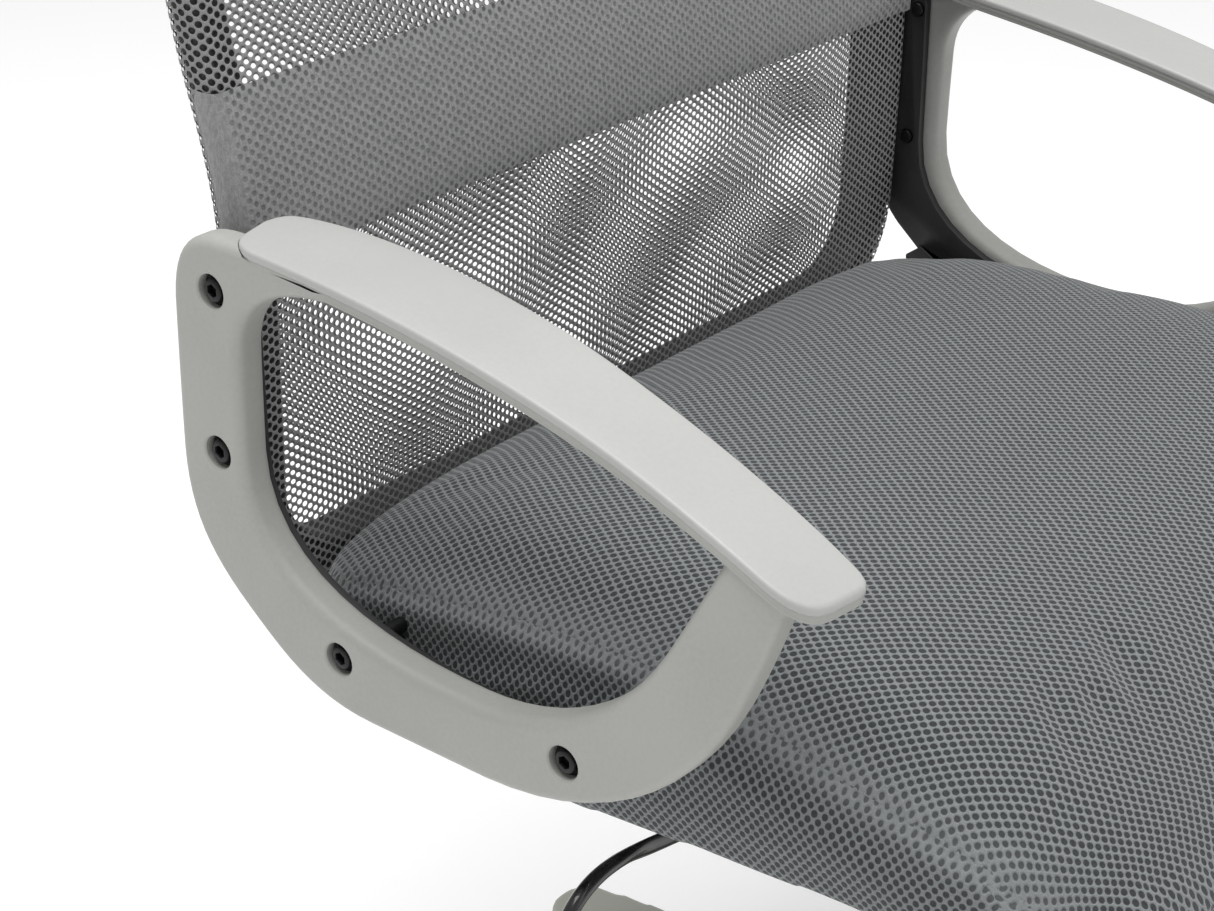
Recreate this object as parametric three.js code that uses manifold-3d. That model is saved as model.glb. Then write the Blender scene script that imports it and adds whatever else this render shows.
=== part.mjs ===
// Swivel office / gaming chair with a sleeved mesh back, a foam seat and fixed loop arms.
// Millimetres, +Z up. The sitter faces -Y and the sitter's left is +X. The origin is on
// the floor under the middle of the chair's bounding box.
// The seat, arms and back are drawn in the seat frame, whose height zero is the axis of the
// two lower arm bolts and whose Y zero is the axis of the upper-middle arm bolt.
import * as THREE from 'three';
import { mergeVertices } from 'three/addons/utils/BufferGeometryUtils.js';
import Module from 'manifold-3d';

const wasm = await Module();
wasm.setup();

// ---------------------------------------------------------------- driving dimensions
const GAP = 0.3;                  // air left between two pieces that touch
const SEAT_Z = 430;               // lower arm bolts above the floor, lift fully down
const SEAT_Y = 189;               // upper-middle arm bolt behind the origin
const COLUMN_Y = -250;            // column axis, in the seat frame

// base and casters
const LEG_COUNT = 5;
const LEG_REACH = 300;            // leg tip from the column axis
const LEG_TIP_TOP = 85;           // top of a leg at its tip, above the floor
const LEG_ROOT_TOP = 114;         // top of a leg where it meets the hub
const LEG_TIP_UNDER = 60;
const LEG_ROOT_UNDER = 70;
const HUB_TOP = 118;
const HUB_RADIUS = 37;
const STEM_REACH = 276;           // caster stem from the column axis
const STEM_RADIUS = 5.5;
const CASTER_TRAIL = 16;          // axle behind the stem
const WHEEL_RADIUS = 25;
const WHEEL_WIDTH = 16;
const WHEEL_INNER = 7;            // inner face of a wheel from the caster's middle
const AXLE_RADIUS = 4;

// gas column, heights above the floor
const TUBE_RADIUS = 25;
const TUBE_BOTTOM = 62;
const TUBE_TOP = 296;
const CYLINDER_RADIUS = 14;
const COVER_LENGTH = 118;
const COVER_WALL = 1.5;

// tilt mechanism, in the seat frame
const PLATE_TOP = -50.3;          // top of the tilt housing, under the seat pan
const PIN_Y = COLUMN_Y - 45;      // tilt axis
const PIN_Z = -92;
const BRACKET_TOP = -80;
const BRACKET_UNDER = -118;
const TAPER_TOP = -88;            // upper end of the gas cylinder
const BUTTON_RISE = 4;            // release button above the cylinder's end
const TENSION_Y = COLUMN_Y - 92;  // tension bolt
const LEVER_Y = COLUMN_Y + 30;    // lift lever shaft
const LEVER_Z = -91;
const LEVER_PIVOT_X = -33;        // waist of the bush, where the lever rocks

// seat
const PAN_UNDER = -50;
const PAN_THICK = 10;
const PAN_FRONT = -350;
const SKIRT_REAR = -58;           // lower edge of the seat's side, which rises towards the front
const SKIRT_FRONT = -38;
const CUSHION_HALF = 246;
const CUSHION_REAR = -3;
const CUSHION_FRONT = -440;

// arms
const ARM_OUTER = 288;            // outer face from the middle plane
const ARM_THICK = 18;
const PAD_OUTER = 290;
const PAD_THICK = 8;
const ARM_BOLTS = [[-3, 158], [0, 80], [-70, 0], [-200, 0]];   // y, z in the seat frame
const BOLT_RECESS = 8;
const SHANK_RADIUS = 3.9;
const UPPER_BOLT_TIP = 250;       // ends of the bolts from the middle plane
const LOWER_BOLT_TIP = 240;

// back
const BACK_HALF = 263;
const BACK_BOTTOM = -20;
const BACK_TOP = 700;
const BACK_DEPTH = 28;
const BAND_BOTTOM = 158;          // lumbar band
const BAND_TOP = 236;
const BACK_RIM = 26;
const SHEET_THICK = 2;
const SHEET_INSET = 3;
const SHEET_GAP = 0.5;            // air between the curved frame and the stretched sheets

// ---------------------------------------------------------------- materials
function finish(color, roughness, metalness = 0) {
  return new THREE.MeshStandardMaterial({ color, roughness, metalness });
}
const lightPlastic = finish(0xb4b6b0, 0.55);
const padPlastic = finish(0xcfcfcc, 0.5);
const baseNylon = finish(0xc9cbc4, 0.5);
const casterNylon = finish(0xa9aba6, 0.5);
const wheelRubber = finish(0x8c8e8b, 0.7);
const blackPlastic = finish(0x1e1f1e, 0.6);
const blackSteel = finish(0x191a19, 0.4, 0.6);
const zincSteel = finish(0xb0b2b4, 0.35, 0.9);
const chrome = finish(0xd2d4d6, 0.15, 1);
const seatFabric = finish(0x767b7d, 0.9);
const backFabric = finish(0x7b7d7c, 0.9);

// ---------------------------------------------------------------- solids
function toSolid(geometry) {
  const bare = geometry.clone();
  bare.deleteAttribute('normal');
  bare.deleteAttribute('uv');
  const merged = mergeVertices(bare, 1e-3);
  const vertProperties = new Float32Array(merged.attributes.position.array);
  const triVerts = new Uint32Array(merged.index.array);
  return new wasm.Manifold(new wasm.Mesh({ numProp: 3, vertProperties, triVerts }));
}

function toGeometry(solid) {
  const mesh = solid.getMesh();
  const geometry = new THREE.BufferGeometry();
  geometry.setAttribute('position', new THREE.BufferAttribute(mesh.vertProperties, 3));
  geometry.setIndex(new THREE.BufferAttribute(mesh.triVerts, 1));
  geometry.computeVertexNormals();
  return geometry;
}

function join(...geometries) {
  const solids = geometries.map(toSolid);
  return toGeometry(solids.reduce((sum, next) => sum.add(next)));
}

function cut(geometry, ...tools) {
  const start = toSolid(geometry);
  return toGeometry(tools.map(toSolid).reduce((rest, tool) => rest.subtract(tool), start));
}

function common(a, b) {
  return toGeometry(toSolid(a).intersect(toSolid(b)));
}

function block(x0, x1, y0, y1, z0, z1) {
  const geometry = new THREE.BoxGeometry(x1 - x0, y1 - y0, z1 - z0);
  return geometry.translate((x0 + x1) / 2, (y0 + y1) / 2, (z0 + z1) / 2);
}

// A shape drawn in (y, z), extruded from x0 to x1.
function extrudeX(shape, x0, x1, bevel = 0, curveSegments = 6) {
  const geometry = extrude(shape, x1 - x0, bevel, curveSegments);
  const turn = new THREE.Matrix4().makeBasis(
    new THREE.Vector3(0, 1, 0), new THREE.Vector3(0, 0, 1), new THREE.Vector3(1, 0, 0));
  return geometry.applyMatrix4(turn).translate(x0, 0, 0);
}

// A shape drawn in (x, z), extruded from y1 back to y0.
function extrudeY(shape, y0, y1, bevel = 0, curveSegments = 6) {
  const geometry = extrude(shape, y1 - y0, bevel, curveSegments);
  const turn = new THREE.Matrix4().makeBasis(
    new THREE.Vector3(1, 0, 0), new THREE.Vector3(0, 0, 1), new THREE.Vector3(0, -1, 0));
  return geometry.applyMatrix4(turn).translate(0, y1, 0);
}

// A shape drawn in (x, y), extruded from z0 to z1.
function extrudeZ(shape, z0, z1, bevel = 0, curveSegments = 6) {
  return extrude(shape, z1 - z0, bevel, curveSegments).translate(0, 0, z0);
}

function extrude(shape, depth, bevel, curveSegments) {
  const geometry = new THREE.ExtrudeGeometry(shape, {
    depth: depth - 2 * bevel,
    bevelEnabled: bevel > 0,
    bevelThickness: bevel,
    bevelSize: bevel,
    bevelOffset: -bevel,
    bevelSegments: 1,
    curveSegments,
  });
  return geometry.translate(0, 0, bevel);
}

// A solid turned about Z from [radius, height] pairs listed upwards along the outside.
function lathe(profile, segments) {
  const points = profile.map(([radius, height]) => new THREE.Vector2(radius, height));
  return new THREE.LatheGeometry(points, segments).rotateX(Math.PI / 2);
}

function rod(radius, z0, z1, segments = 16) {
  return lathe([[0, z0], [radius, z0], [radius, z1], [0, z1]], segments);
}

function tube(outer, inner, z0, z1, segments = 24) {
  return lathe([[inner, z0], [outer, z0], [outer, z1], [inner, z1], [inner, z0]], segments);
}

// Lays a part drawn along Z so that it runs along X.
function alongX(geometry) {
  return geometry.rotateY(Math.PI / 2);
}

function rodX(radius, x0, x1, y, z, segments = 12) {
  return alongX(rod(radius, x0, x1, segments)).translate(0, y, z);
}

// The mirror image across the middle plane, with its faces still pointing out.
function mirrorX(geometry) {
  const flipped = geometry.clone();
  flipped.scale(-1, 1, 1);
  const index = flipped.index.array;
  for (let i = 0; i < index.length; i += 3) {
    const first = index[i];
    index[i] = index[i + 1];
    index[i + 1] = first;
  }
  flipped.computeVertexNormals();
  return flipped;
}

function addPart(group, name, geometry, material) {
  const mesh = new THREE.Mesh(geometry, material);
  mesh.name = name;
  group.add(mesh);
  return mesh;
}

function closedShape(corners) {
  const shape = new THREE.Shape();
  shape.moveTo(corners[0][0], corners[0][1]);
  for (const [u, v] of corners.slice(1)) shape.lineTo(u, v);
  shape.closePath();
  return shape;
}

function roundedBox(u0, u1, v0, v1, radius) {
  const shape = new THREE.Shape();
  shape.moveTo(u0 + radius, v0);
  shape.lineTo(u1 - radius, v0);
  shape.quadraticCurveTo(u1, v0, u1, v0 + radius);
  shape.lineTo(u1, v1 - radius);
  shape.quadraticCurveTo(u1, v1, u1 - radius, v1);
  shape.lineTo(u0 + radius, v1);
  shape.quadraticCurveTo(u0, v1, u0, v1 - radius);
  shape.lineTo(u0, v0 + radius);
  shape.quadraticCurveTo(u0, v0, u0 + radius, v0);
  return shape;
}

// ---------------------------------------------------------------- star base
// One leg points straight back (+Y); it is hollow underneath around the caster socket.
function legSide() {
  return closedShape([
    [0, LEG_ROOT_UNDER], [LEG_REACH, LEG_TIP_UNDER], [LEG_REACH, LEG_TIP_TOP],
    [HUB_RADIUS + 14, LEG_ROOT_TOP], [0, LEG_ROOT_TOP]]);
}

function legPlan(tipHalf, rootHalf, reach) {
  const shape = new THREE.Shape();
  shape.moveTo(-rootHalf, 0);
  shape.lineTo(-tipHalf, reach - tipHalf);
  shape.quadraticCurveTo(-tipHalf, reach, 0, reach);
  shape.quadraticCurveTo(tipHalf, reach, tipHalf, reach - tipHalf);
  shape.lineTo(rootHalf, 0);
  shape.closePath();
  return shape;
}

function leg() {
  const plan = extrudeZ(legPlan(19, 25, LEG_REACH), LEG_TIP_UNDER - 10, LEG_ROOT_TOP + 40, 0, 4);
  const body = common(plan, extrudeX(legSide(), -40, 40));
  const pocketSide = extrudeX(closedShape([
    [HUB_RADIUS + 6, LEG_TIP_UNDER - 5], [STEM_REACH - 14, LEG_TIP_UNDER - 5],
    [STEM_REACH - 14, LEG_TIP_TOP - 3.5], [HUB_RADIUS + 14, LEG_ROOT_TOP - 5],
    [HUB_RADIUS + 6, LEG_ROOT_TOP - 5]]), -40, 40);
  const pocketPlan = extrudeZ(legPlan(15, 20.5, LEG_REACH), LEG_TIP_UNDER - 20, LEG_ROOT_TOP, 0, 4);
  const hollow = common(pocketPlan, pocketSide);
  return { body, hollow };
}

function starBase() {
  let base = rod(HUB_RADIUS, TUBE_BOTTOM - 6, HUB_TOP, 30);
  const hollows = [];
  for (let i = 0; i < LEG_COUNT; i += 1) {
    const angle = (i * 2 * Math.PI) / LEG_COUNT;
    const { body, hollow } = leg();
    base = join(base, body.rotateZ(angle));
    hollows.push(hollow.rotateZ(angle));
    const socket = rod(STEM_RADIUS + GAP, LEG_TIP_UNDER - 5, LEG_TIP_TOP - 3, 12);
    hollows.push(socket.translate(0, STEM_REACH, 0).rotateZ(angle));
  }
  const bore = rod(TUBE_RADIUS + GAP, TUBE_BOTTOM - 10, HUB_TOP + 5, 24);
  return cut(base, ...hollows, bore);
}

// ---------------------------------------------------------------- casters
// Drawn with the stem axis on Z at the origin; the caster trails towards +Y.
function casterStem() {
  return lathe([
    [0, 40], [STEM_RADIUS, 40], [STEM_RADIUS, 53.5], [9.5, 53.5], [9.5, 56],
    [STEM_RADIUS, 56], [STEM_RADIUS, 80], [0, 80]], 10);
}

// The hood covers the upper rear of the wheels and carries the stem boss between them.
function casterHood() {
  const outer = new THREE.Shape();
  outer.absarc(CASTER_TRAIL, WHEEL_RADIUS, WHEEL_RADIUS + 2.5, -0.1, Math.PI * 0.86, false);
  outer.closePath();
  const dome = extrudeX(outer, -21, 21, 2, 5);
  const wheelRoom = [-1, 1].map((side) => {
    const inner = Math.min(side * (WHEEL_INNER - 0.5), side * 40);
    return rodX(WHEEL_RADIUS + 1, inner, inner + 33.5, CASTER_TRAIL, WHEEL_RADIUS, 16);
  });
  const boss = rod(9.5, 34, 53.2, 12);
  const stemHole = rod(STEM_RADIUS + GAP, 38, 60, 10);
  const axleHole = rodX(AXLE_RADIUS + GAP, -30, 30, CASTER_TRAIL, WHEEL_RADIUS);
  return cut(join(dome, boss), ...wheelRoom, stemHole, axleHole);
}

function casterWheel(side) {
  const hub = AXLE_RADIUS + GAP;
  const inner = WHEEL_INNER;
  const outer = inner + WHEEL_WIDTH;
  const profile = [
    [hub, inner], [WHEEL_RADIUS - 1, inner], [WHEEL_RADIUS, inner + 2], [WHEEL_RADIUS, outer - 4],
    [WHEEL_RADIUS - 4, outer], [hub, outer - 1.5], [hub, inner]];
  const wheel = alongX(lathe(profile, 16));
  const placed = toGeometry(toSolid(wheel));
  return (side > 0 ? placed : mirrorX(placed)).translate(0, CASTER_TRAIL, WHEEL_RADIUS);
}

function addCasters(group) {
  for (let i = 0; i < LEG_COUNT; i += 1) {
    const legAngle = (i * 2 * Math.PI) / LEG_COUNT;
    const caster = new THREE.Group();
    const reach = new THREE.Vector3(0, STEM_REACH, 0).applyAxisAngle(new THREE.Vector3(0, 0, 1), legAngle);
    caster.position.copy(reach);
    const name = `caster_${i + 1}`;
    addPart(caster, `${name}_stem`, casterStem(), zincSteel);
    addPart(caster, `${name}_hood`, casterHood(), casterNylon);
    const axle = rodX(AXLE_RADIUS, -20, 20, CASTER_TRAIL, WHEEL_RADIUS);
    addPart(caster, `${name}_axle`, axle, zincSteel);
    addPart(caster, `${name}_wheel_left`, casterWheel(1), wheelRubber);
    addPart(caster, `${name}_wheel_right`, casterWheel(-1), wheelRubber);
    group.add(caster);
  }
}

// ---------------------------------------------------------------- gas column
// Heights are above the floor; the column axis is the group's Z axis.
function outerTube() {
  const wall = 2;
  const inner = TUBE_RADIUS - wall;
  return lathe([
    [7, TUBE_BOTTOM], [TUBE_RADIUS - 1, TUBE_BOTTOM], [TUBE_RADIUS, TUBE_BOTTOM + 30],
    [TUBE_RADIUS, TUBE_TOP], [CYLINDER_RADIUS + GAP, TUBE_TOP], [CYLINDER_RADIUS + GAP, TUBE_TOP - 40],
    [inner, TUBE_TOP - 44], [inner, TUBE_BOTTOM + 4], [7, TUBE_BOTTOM + 4], [7, TUBE_BOTTOM]], 20);
}

function pistonRod() {
  return lathe([
    [0, TUBE_BOTTOM - 8], [6.5, TUBE_BOTTOM - 8], [6.5, TUBE_BOTTOM + 4.3], [12, TUBE_BOTTOM + 4.3],
    [12, TUBE_BOTTOM + 9], [5, TUBE_BOTTOM + 9], [5, 150], [0, 150]], 12);
}

function pressureCylinder() {
  const top = SEAT_Z + TAPER_TOP;
  const r = CYLINDER_RADIUS;
  return lathe([
    [5 + GAP, 96], [r, 96], [r, top - 40], [r - 1, top], [4, top], [4, top - 20],
    [0, top - 20], [0, 200], [5 + GAP, 200], [5 + GAP, 96]], 18);
}

function releaseButton() {
  const base = SEAT_Z + TAPER_TOP;
  const top = base + BUTTON_RISE;
  return lathe([[0, base - 14], [3.6, base - 14], [3.6, top - 1], [2.6, top], [0, top]], 10);
}

function coverStage(outer, z0) {
  const inner = outer - COVER_WALL;
  return tube(outer, inner, z0, z0 + COVER_LENGTH, 24);
}

function addColumn(group) {
  const coverBottom = HUB_TOP + GAP;
  const coverTop = SEAT_Z + BRACKET_UNDER - GAP;
  const middleBottom = (coverBottom + coverTop - COVER_LENGTH) / 2;
  addPart(group, 'column_tube', outerTube(), blackSteel);
  addPart(group, 'piston_rod', pistonRod(), chrome);
  addPart(group, 'gas_cylinder', pressureCylinder(), blackSteel);
  addPart(group, 'release_button', releaseButton(), zincSteel);
  addPart(group, 'column_cover_lower', coverStage(TUBE_RADIUS + 8, coverBottom), blackPlastic);
  addPart(group, 'column_cover_middle', coverStage(TUBE_RADIUS + 5.5, middleBottom), blackPlastic);
  addPart(group, 'column_cover_upper', coverStage(TUBE_RADIUS + 3, coverTop - COVER_LENGTH), blackPlastic);
}

// ---------------------------------------------------------------- tilt mechanism (seat frame)
// The hub bracket grips the gas cylinder; the tilt housing carries the seat and rocks on the pin.
function hubBracket() {
  const hub = rod(23, BRACKET_UNDER, TAPER_TOP - 2, 20).translate(0, COLUMN_Y, 0);
  const cheeks = block(-38, 38, PIN_Y - 14, COLUMN_Y + 44, BRACKET_UNDER, BRACKET_TOP);
  const hollow = block(-34, 34, PIN_Y + 14, COLUMN_Y + 40, BRACKET_UNDER + 4, BRACKET_TOP + 5);
  const nose = block(-24, 24, TENSION_Y - 20, PIN_Y, BRACKET_UNDER, BRACKET_UNDER + 6);
  const socket = rod(CYLINDER_RADIUS + GAP, BRACKET_UNDER - 1, BRACKET_TOP + 1, 20).translate(0, COLUMN_Y, 0);
  const pinHole = rodX(6 + GAP, -60, 60, PIN_Y, PIN_Z, 16);
  const leverHole = rodX(9 + GAP, -60, -20, LEVER_Y, LEVER_Z, 16);
  const slot = extrudeZ(roundedBox(-8, 8, TENSION_Y - 13, TENSION_Y + 9, 7), BRACKET_UNDER - 5, BRACKET_UNDER + 9);
  const shell = join(cut(cheeks, hollow), hub, nose);
  return cut(shell, socket, pinHole, leverHole, slot);
}

function tiltHousing() {
  const thick = 2.5;
  const rear = COLUMN_Y + 75;
  const front = TENSION_Y - 30;
  const plate = extrudeZ(roundedBox(-100, 100, front, rear, 18), PLATE_TOP - thick, PLATE_TOP, 0, 4);
  const wall = closedShape([
    [front + 10, PLATE_TOP - 1], [front + 24, PLATE_TOP - 26], [PIN_Y - 16, PIN_Z - 14],
    [PIN_Y + 22, PIN_Z - 14], [rear - 16, PLATE_TOP - 26], [rear - 8, PLATE_TOP - 1]]);
  const walls = [-1, 1].map((side) => {
    const inner = Math.min(side * 40, side * (40 + thick));
    return extrudeX(wall, inner, inner + thick);
  });
  const pinHole = rodX(6 + GAP, -60, 60, PIN_Y, PIN_Z, 16);
  const leverRoom = block(-50, -36, LEVER_Y - 13, LEVER_Y + 15, PIN_Z - 30, LEVER_Z + 27);
  const nutHole = rod(4 + GAP, PLATE_TOP - 10, PLATE_TOP + 5, 12).translate(0, TENSION_Y, 0);
  const tools = [pinHole, leverRoom, nutHole];
  for (const x of [-80, 80]) {
    for (const y of [front + 25, rear - 25]) {
      tools.push(rod(3.5, PLATE_TOP - 10, PLATE_TOP + 5, 10).translate(x, y, 0));
    }
  }
  return cut(join(plate, ...walls), ...tools);
}

function tiltPin() {
  return alongX(lathe([
    [0, -48], [6, -48], [6, 44], [9, 44], [9, 48], [0, 48]], 16)).translate(0, PIN_Y, PIN_Z);
}

// A compression spring between the bracket's nose and the knob's washer.
function tensionSpring() {
  const turns = 4.5;
  const wire = 2;
  const coil = 13;
  const top = BRACKET_UNDER - GAP - wire;
  const length = 28;
  class Helix extends THREE.Curve {
    getPoint(t, target = new THREE.Vector3()) {
      const angle = t * turns * 2 * Math.PI;
      return target.set(coil * Math.cos(angle), coil * Math.sin(angle), top - length * t);
    }
  }
  const section = new THREE.Shape().absarc(0, 0, wire, 0, 2 * Math.PI, false);
  const options = { steps: 40, extrudePath: new Helix(), bevelEnabled: false, curveSegments: 3 };
  return new THREE.ExtrudeGeometry(section, options).translate(0, TENSION_Y, 0);
}

// The hand knob has its bolt moulded in; eight grips run round it.
function tensionKnob() {
  const washerTop = BRACKET_UNDER - 2 * GAP - 32;
  const grip = new THREE.Shape();
  const lobes = 8;
  const samples = lobes * 4;
  for (let i = 0; i < samples; i += 1) {
    const angle = (i * 2 * Math.PI) / samples;
    const radius = 24 + 2 * Math.cos(lobes * angle);
    if (i === 0) grip.moveTo(radius, 0);
    else grip.lineTo(radius * Math.cos(angle), radius * Math.sin(angle));
  }
  grip.closePath();
  const hand = extrudeZ(grip, washerTop - 32, washerTop - 3, 2);
  const bolt = lathe([
    [0, washerTop - 10], [17, washerTop - 10], [17, washerTop], [4, washerTop],
    [4, PLATE_TOP - 1], [0, PLATE_TOP - 1]], 12);
  return join(hand, bolt).translate(0, TENSION_Y, 0);
}

// A plastic bush that slides in the bracket's right cheek. Its bore is waisted, so that the
// lever can rock in it.
function leverBush() {
  const half = 13;
  const x = LEVER_PIVOT_X;
  const bush = lathe([
    [7, x - half], [9, x - half], [9, x + half], [7, x + half], [5.5, x], [7, x - half]], 14);
  return alongX(bush).translate(0, LEVER_Y, LEVER_Z);
}

// A bent steel bar: straight through the bush, flattened at the neck, then turned down.
function liftLever() {
  const route = new THREE.CatmullRomCurve3([
    new THREE.Vector3(-52, LEVER_Y, LEVER_Z),
    new THREE.Vector3(-120, LEVER_Y + 12, LEVER_Z + 2),
    new THREE.Vector3(-205, -192, -85),
    new THREE.Vector3(-240, -190, -80),
    new THREE.Vector3(-264, -190, -84),
    new THREE.Vector3(-279, -190, -100),
    new THREE.Vector3(-284, -190, -132),
  ]);
  const section = new THREE.Shape().absellipse(0, 0, 4.6, 4.6, 0, 2 * Math.PI, false);
  const options = { steps: 20, extrudePath: route, bevelEnabled: false, curveSegments: 4 };
  const bar = new THREE.ExtrudeGeometry(section, options);
  const shaft = rodX(5, -56, -14, LEVER_Y, LEVER_Z);
  const fingerUnder = TAPER_TOP + BUTTON_RISE + 1;
  const fingerTop = fingerUnder + 3;
  const finger = block(-19, 5, COLUMN_Y - 4, LEVER_Y + 4, fingerUnder, fingerTop);
  const crank = block(-19, -14, LEVER_Y - 4, LEVER_Y + 4, LEVER_Z - 4, fingerTop);
  return join(bar, shaft, finger, crank);
}

function addMechanism(group) {
  addPart(group, 'hub_bracket', hubBracket(), blackSteel);
  addPart(group, 'tilt_housing', tiltHousing(), blackSteel);
  addPart(group, 'tilt_pin', tiltPin(), zincSteel);
  addPart(group, 'tension_spring', tensionSpring(), zincSteel);
  addPart(group, 'tension_knob', tensionKnob(), blackPlastic);
  addPart(group, 'lever_bush', leverBush(), blackPlastic);
  addPart(group, 'lift_lever', liftLever(), blackSteel);
}

// ---------------------------------------------------------------- seat (seat frame)
const TAB_INNER = 238;            // upstands of the seat pan that the arms bolt to
const TAB_OUTER = 248;
const TAB_FRONT = -209;
const TAB_REAR = -59;
const TAB_TOP = 8;

// The pan narrows in front of the arms, so that the seat's side hides it.
function panPlan(grow) {
  const rear = -12 + grow;
  const front = PAN_FRONT - grow;
  const wide = 236 + grow;
  const narrow = 190 + grow;
  const shape = new THREE.Shape();
  shape.moveTo(-wide, -212);
  shape.lineTo(-wide, rear - 40);
  shape.quadraticCurveTo(-wide, rear, 40 - wide, rear);
  shape.lineTo(wide - 40, rear);
  shape.quadraticCurveTo(wide, rear, wide, rear - 40);
  shape.lineTo(wide, -212);
  shape.lineTo(narrow, front + 30);
  shape.quadraticCurveTo(narrow - 4, front, narrow - 34, front);
  shape.lineTo(34 - narrow, front);
  shape.quadraticCurveTo(4 - narrow, front, -narrow, front + 30);
  shape.closePath();
  return shape;
}

function panBody(grow) {
  const top = PAN_UNDER + PAN_THICK + grow;
  const under = PAN_UNDER - (grow > 0 ? 20 : 0);
  const tabUnder = grow > 0 ? under : PAN_UNDER + 5;
  const plate = extrudeZ(panPlan(grow), under, top, 0, 3);
  const tabs = [-1, 1].map((side) => {
    const low = Math.min(side * 230, side * (TAB_OUTER + 4 * grow));
    const high = Math.max(side * 230, side * (TAB_OUTER + 4 * grow));
    return block(low, high, TAB_FRONT - grow, TAB_REAR + grow, tabUnder, top);
  });
  const upstands = [-1, 1].map((side) => {
    const low = Math.min(side * (TAB_INNER - grow), side * (TAB_OUTER + 4 * grow));
    const high = Math.max(side * (TAB_INNER - grow), side * (TAB_OUTER + 4 * grow));
    return block(low, high, TAB_FRONT - grow, TAB_REAR + grow, tabUnder, TAB_TOP + grow);
  });
  return join(plate, ...tabs, ...upstands);
}

function seatPan() {
  const holes = ARM_BOLTS.slice(2).map(([y, z]) => rodX(SHANK_RADIUS + GAP, -260, 260, y, z));
  return cut(panBody(0), ...holes);
}

// Height of the seam round the top of the seat side: highest over the thighs' middle,
// falling to the back and down the front corner.
function seamHeight(y) {
  const t = (y - CUSHION_REAR) / (CUSHION_FRONT - CUSHION_REAR);
  return 2 + 105 * t * (1 - t) * (1 - 0.25 * t) + 12 * t - 46 * t ** 5;
}

function cushionTop(u, v) {
  const y = CUSHION_REAR + (CUSHION_FRONT - CUSHION_REAR) * (v + 1) / 2;
  const flat = 1 - THREE.MathUtils.smoothstep(Math.max(Math.abs(u), Math.abs(v)), 0.3, 1);
  const level = seamHeight(y) * (1 - flat) + 30 * flat;
  return level + 20 * flat;
}

// A closed crowned block: a box grid whose corners are rounded in plan.
function cushionBlock() {
  const half = CUSHION_HALF;
  const halfDepth = (CUSHION_REAR - CUSHION_FRONT) / 2;
  const centreY = (CUSHION_REAR + CUSHION_FRONT) / 2;
  const corner = 60;
  const geometry = new THREE.BoxGeometry(2, 2, 1, 10, 10, 2);
  const position = geometry.attributes.position;
  for (let i = 0; i < position.count; i += 1) {
    const u = position.getX(i);
    const v = -position.getY(i);
    const w = position.getZ(i) + 0.5;
    const top = cushionTop(u, v);
    const bottom = THREE.MathUtils.lerp(SKIRT_REAR, SKIRT_FRONT, THREE.MathUtils.smoothstep(v, -0.6, 1));
    const z = w < 0.25 ? bottom : THREE.MathUtils.lerp(bottom, top, w < 0.75 ? 0.55 : 1);
    const pull = w > 0.25 && w < 0.75 ? 0 : 5;
    const px = u * (half - pull);
    const py = v * (halfDepth - pull);
    const ox = Math.max(Math.abs(px) - (half - corner), 0);
    const oy = Math.max(Math.abs(py) - (halfDepth - corner), 0);
    const shrink = ox > 0 && oy > 0 ? Math.max(ox, oy) / Math.hypot(ox, oy) : 1;
    const x = Math.sign(px) * (Math.min(Math.abs(px), half - corner) + ox * shrink);
    const depth = Math.sign(py) * (Math.min(Math.abs(py), halfDepth - corner) + oy * shrink);
    position.setXYZ(i, x, centreY - depth, z);
  }
  return geometry;
}

function seatCushion() {
  return cut(cushionBlock(), panBody(GAP));
}

// ---------------------------------------------------------------- arms (seat frame, right side is -X)
const PAD_CURVE = new THREE.CubicBezierCurve(
  new THREE.Vector2(-2, 184.8), new THREE.Vector2(-112, 182),
  new THREE.Vector2(-232, 160), new THREE.Vector2(-326, 111));

// A band that follows the top of the arm, from `above` over the curve to `below` under it.
function padBand(above, below) {
  const points = PAD_CURVE.getPoints(12);
  const upper = points.map((p) => [p.x, p.y + above]);
  const lower = points.map((p) => [p.x, p.y - below]).reverse();
  return extrudeX(closedShape([...upper, ...lower]), -320, -200);
}

function padPlan(grow) {
  const shape = new THREE.Shape();
  const outer = -PAD_OUTER - grow;
  shape.moveTo(outer, -34);
  shape.quadraticCurveTo(outer, -18 + grow, -276, -14 + grow);
  shape.lineTo(-254, -8 + grow);
  shape.quadraticCurveTo(-244 + grow, -6, -241 + grow, -20);
  shape.bezierCurveTo(-228 + grow, -75, -228 + grow, -120, -238 + grow, -190);
  shape.lineTo(-247 + grow, -300);
  shape.quadraticCurveTo(-248 + grow, -322 - grow, -258, -322 - grow);
  shape.lineTo(-272, -320 - grow);
  shape.quadraticCurveTo(outer, -317 - grow, outer, -298);
  shape.closePath();
  return shape;
}

function armPad() {
  return common(extrudeZ(padPlan(0), 90, 200, 0, 4), padBand(0, PAD_THICK));
}

function padClearance() {
  return common(extrudeZ(padPlan(GAP), 90, 260, 0, 4), padBand(60, PAD_THICK + GAP));
}

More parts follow.
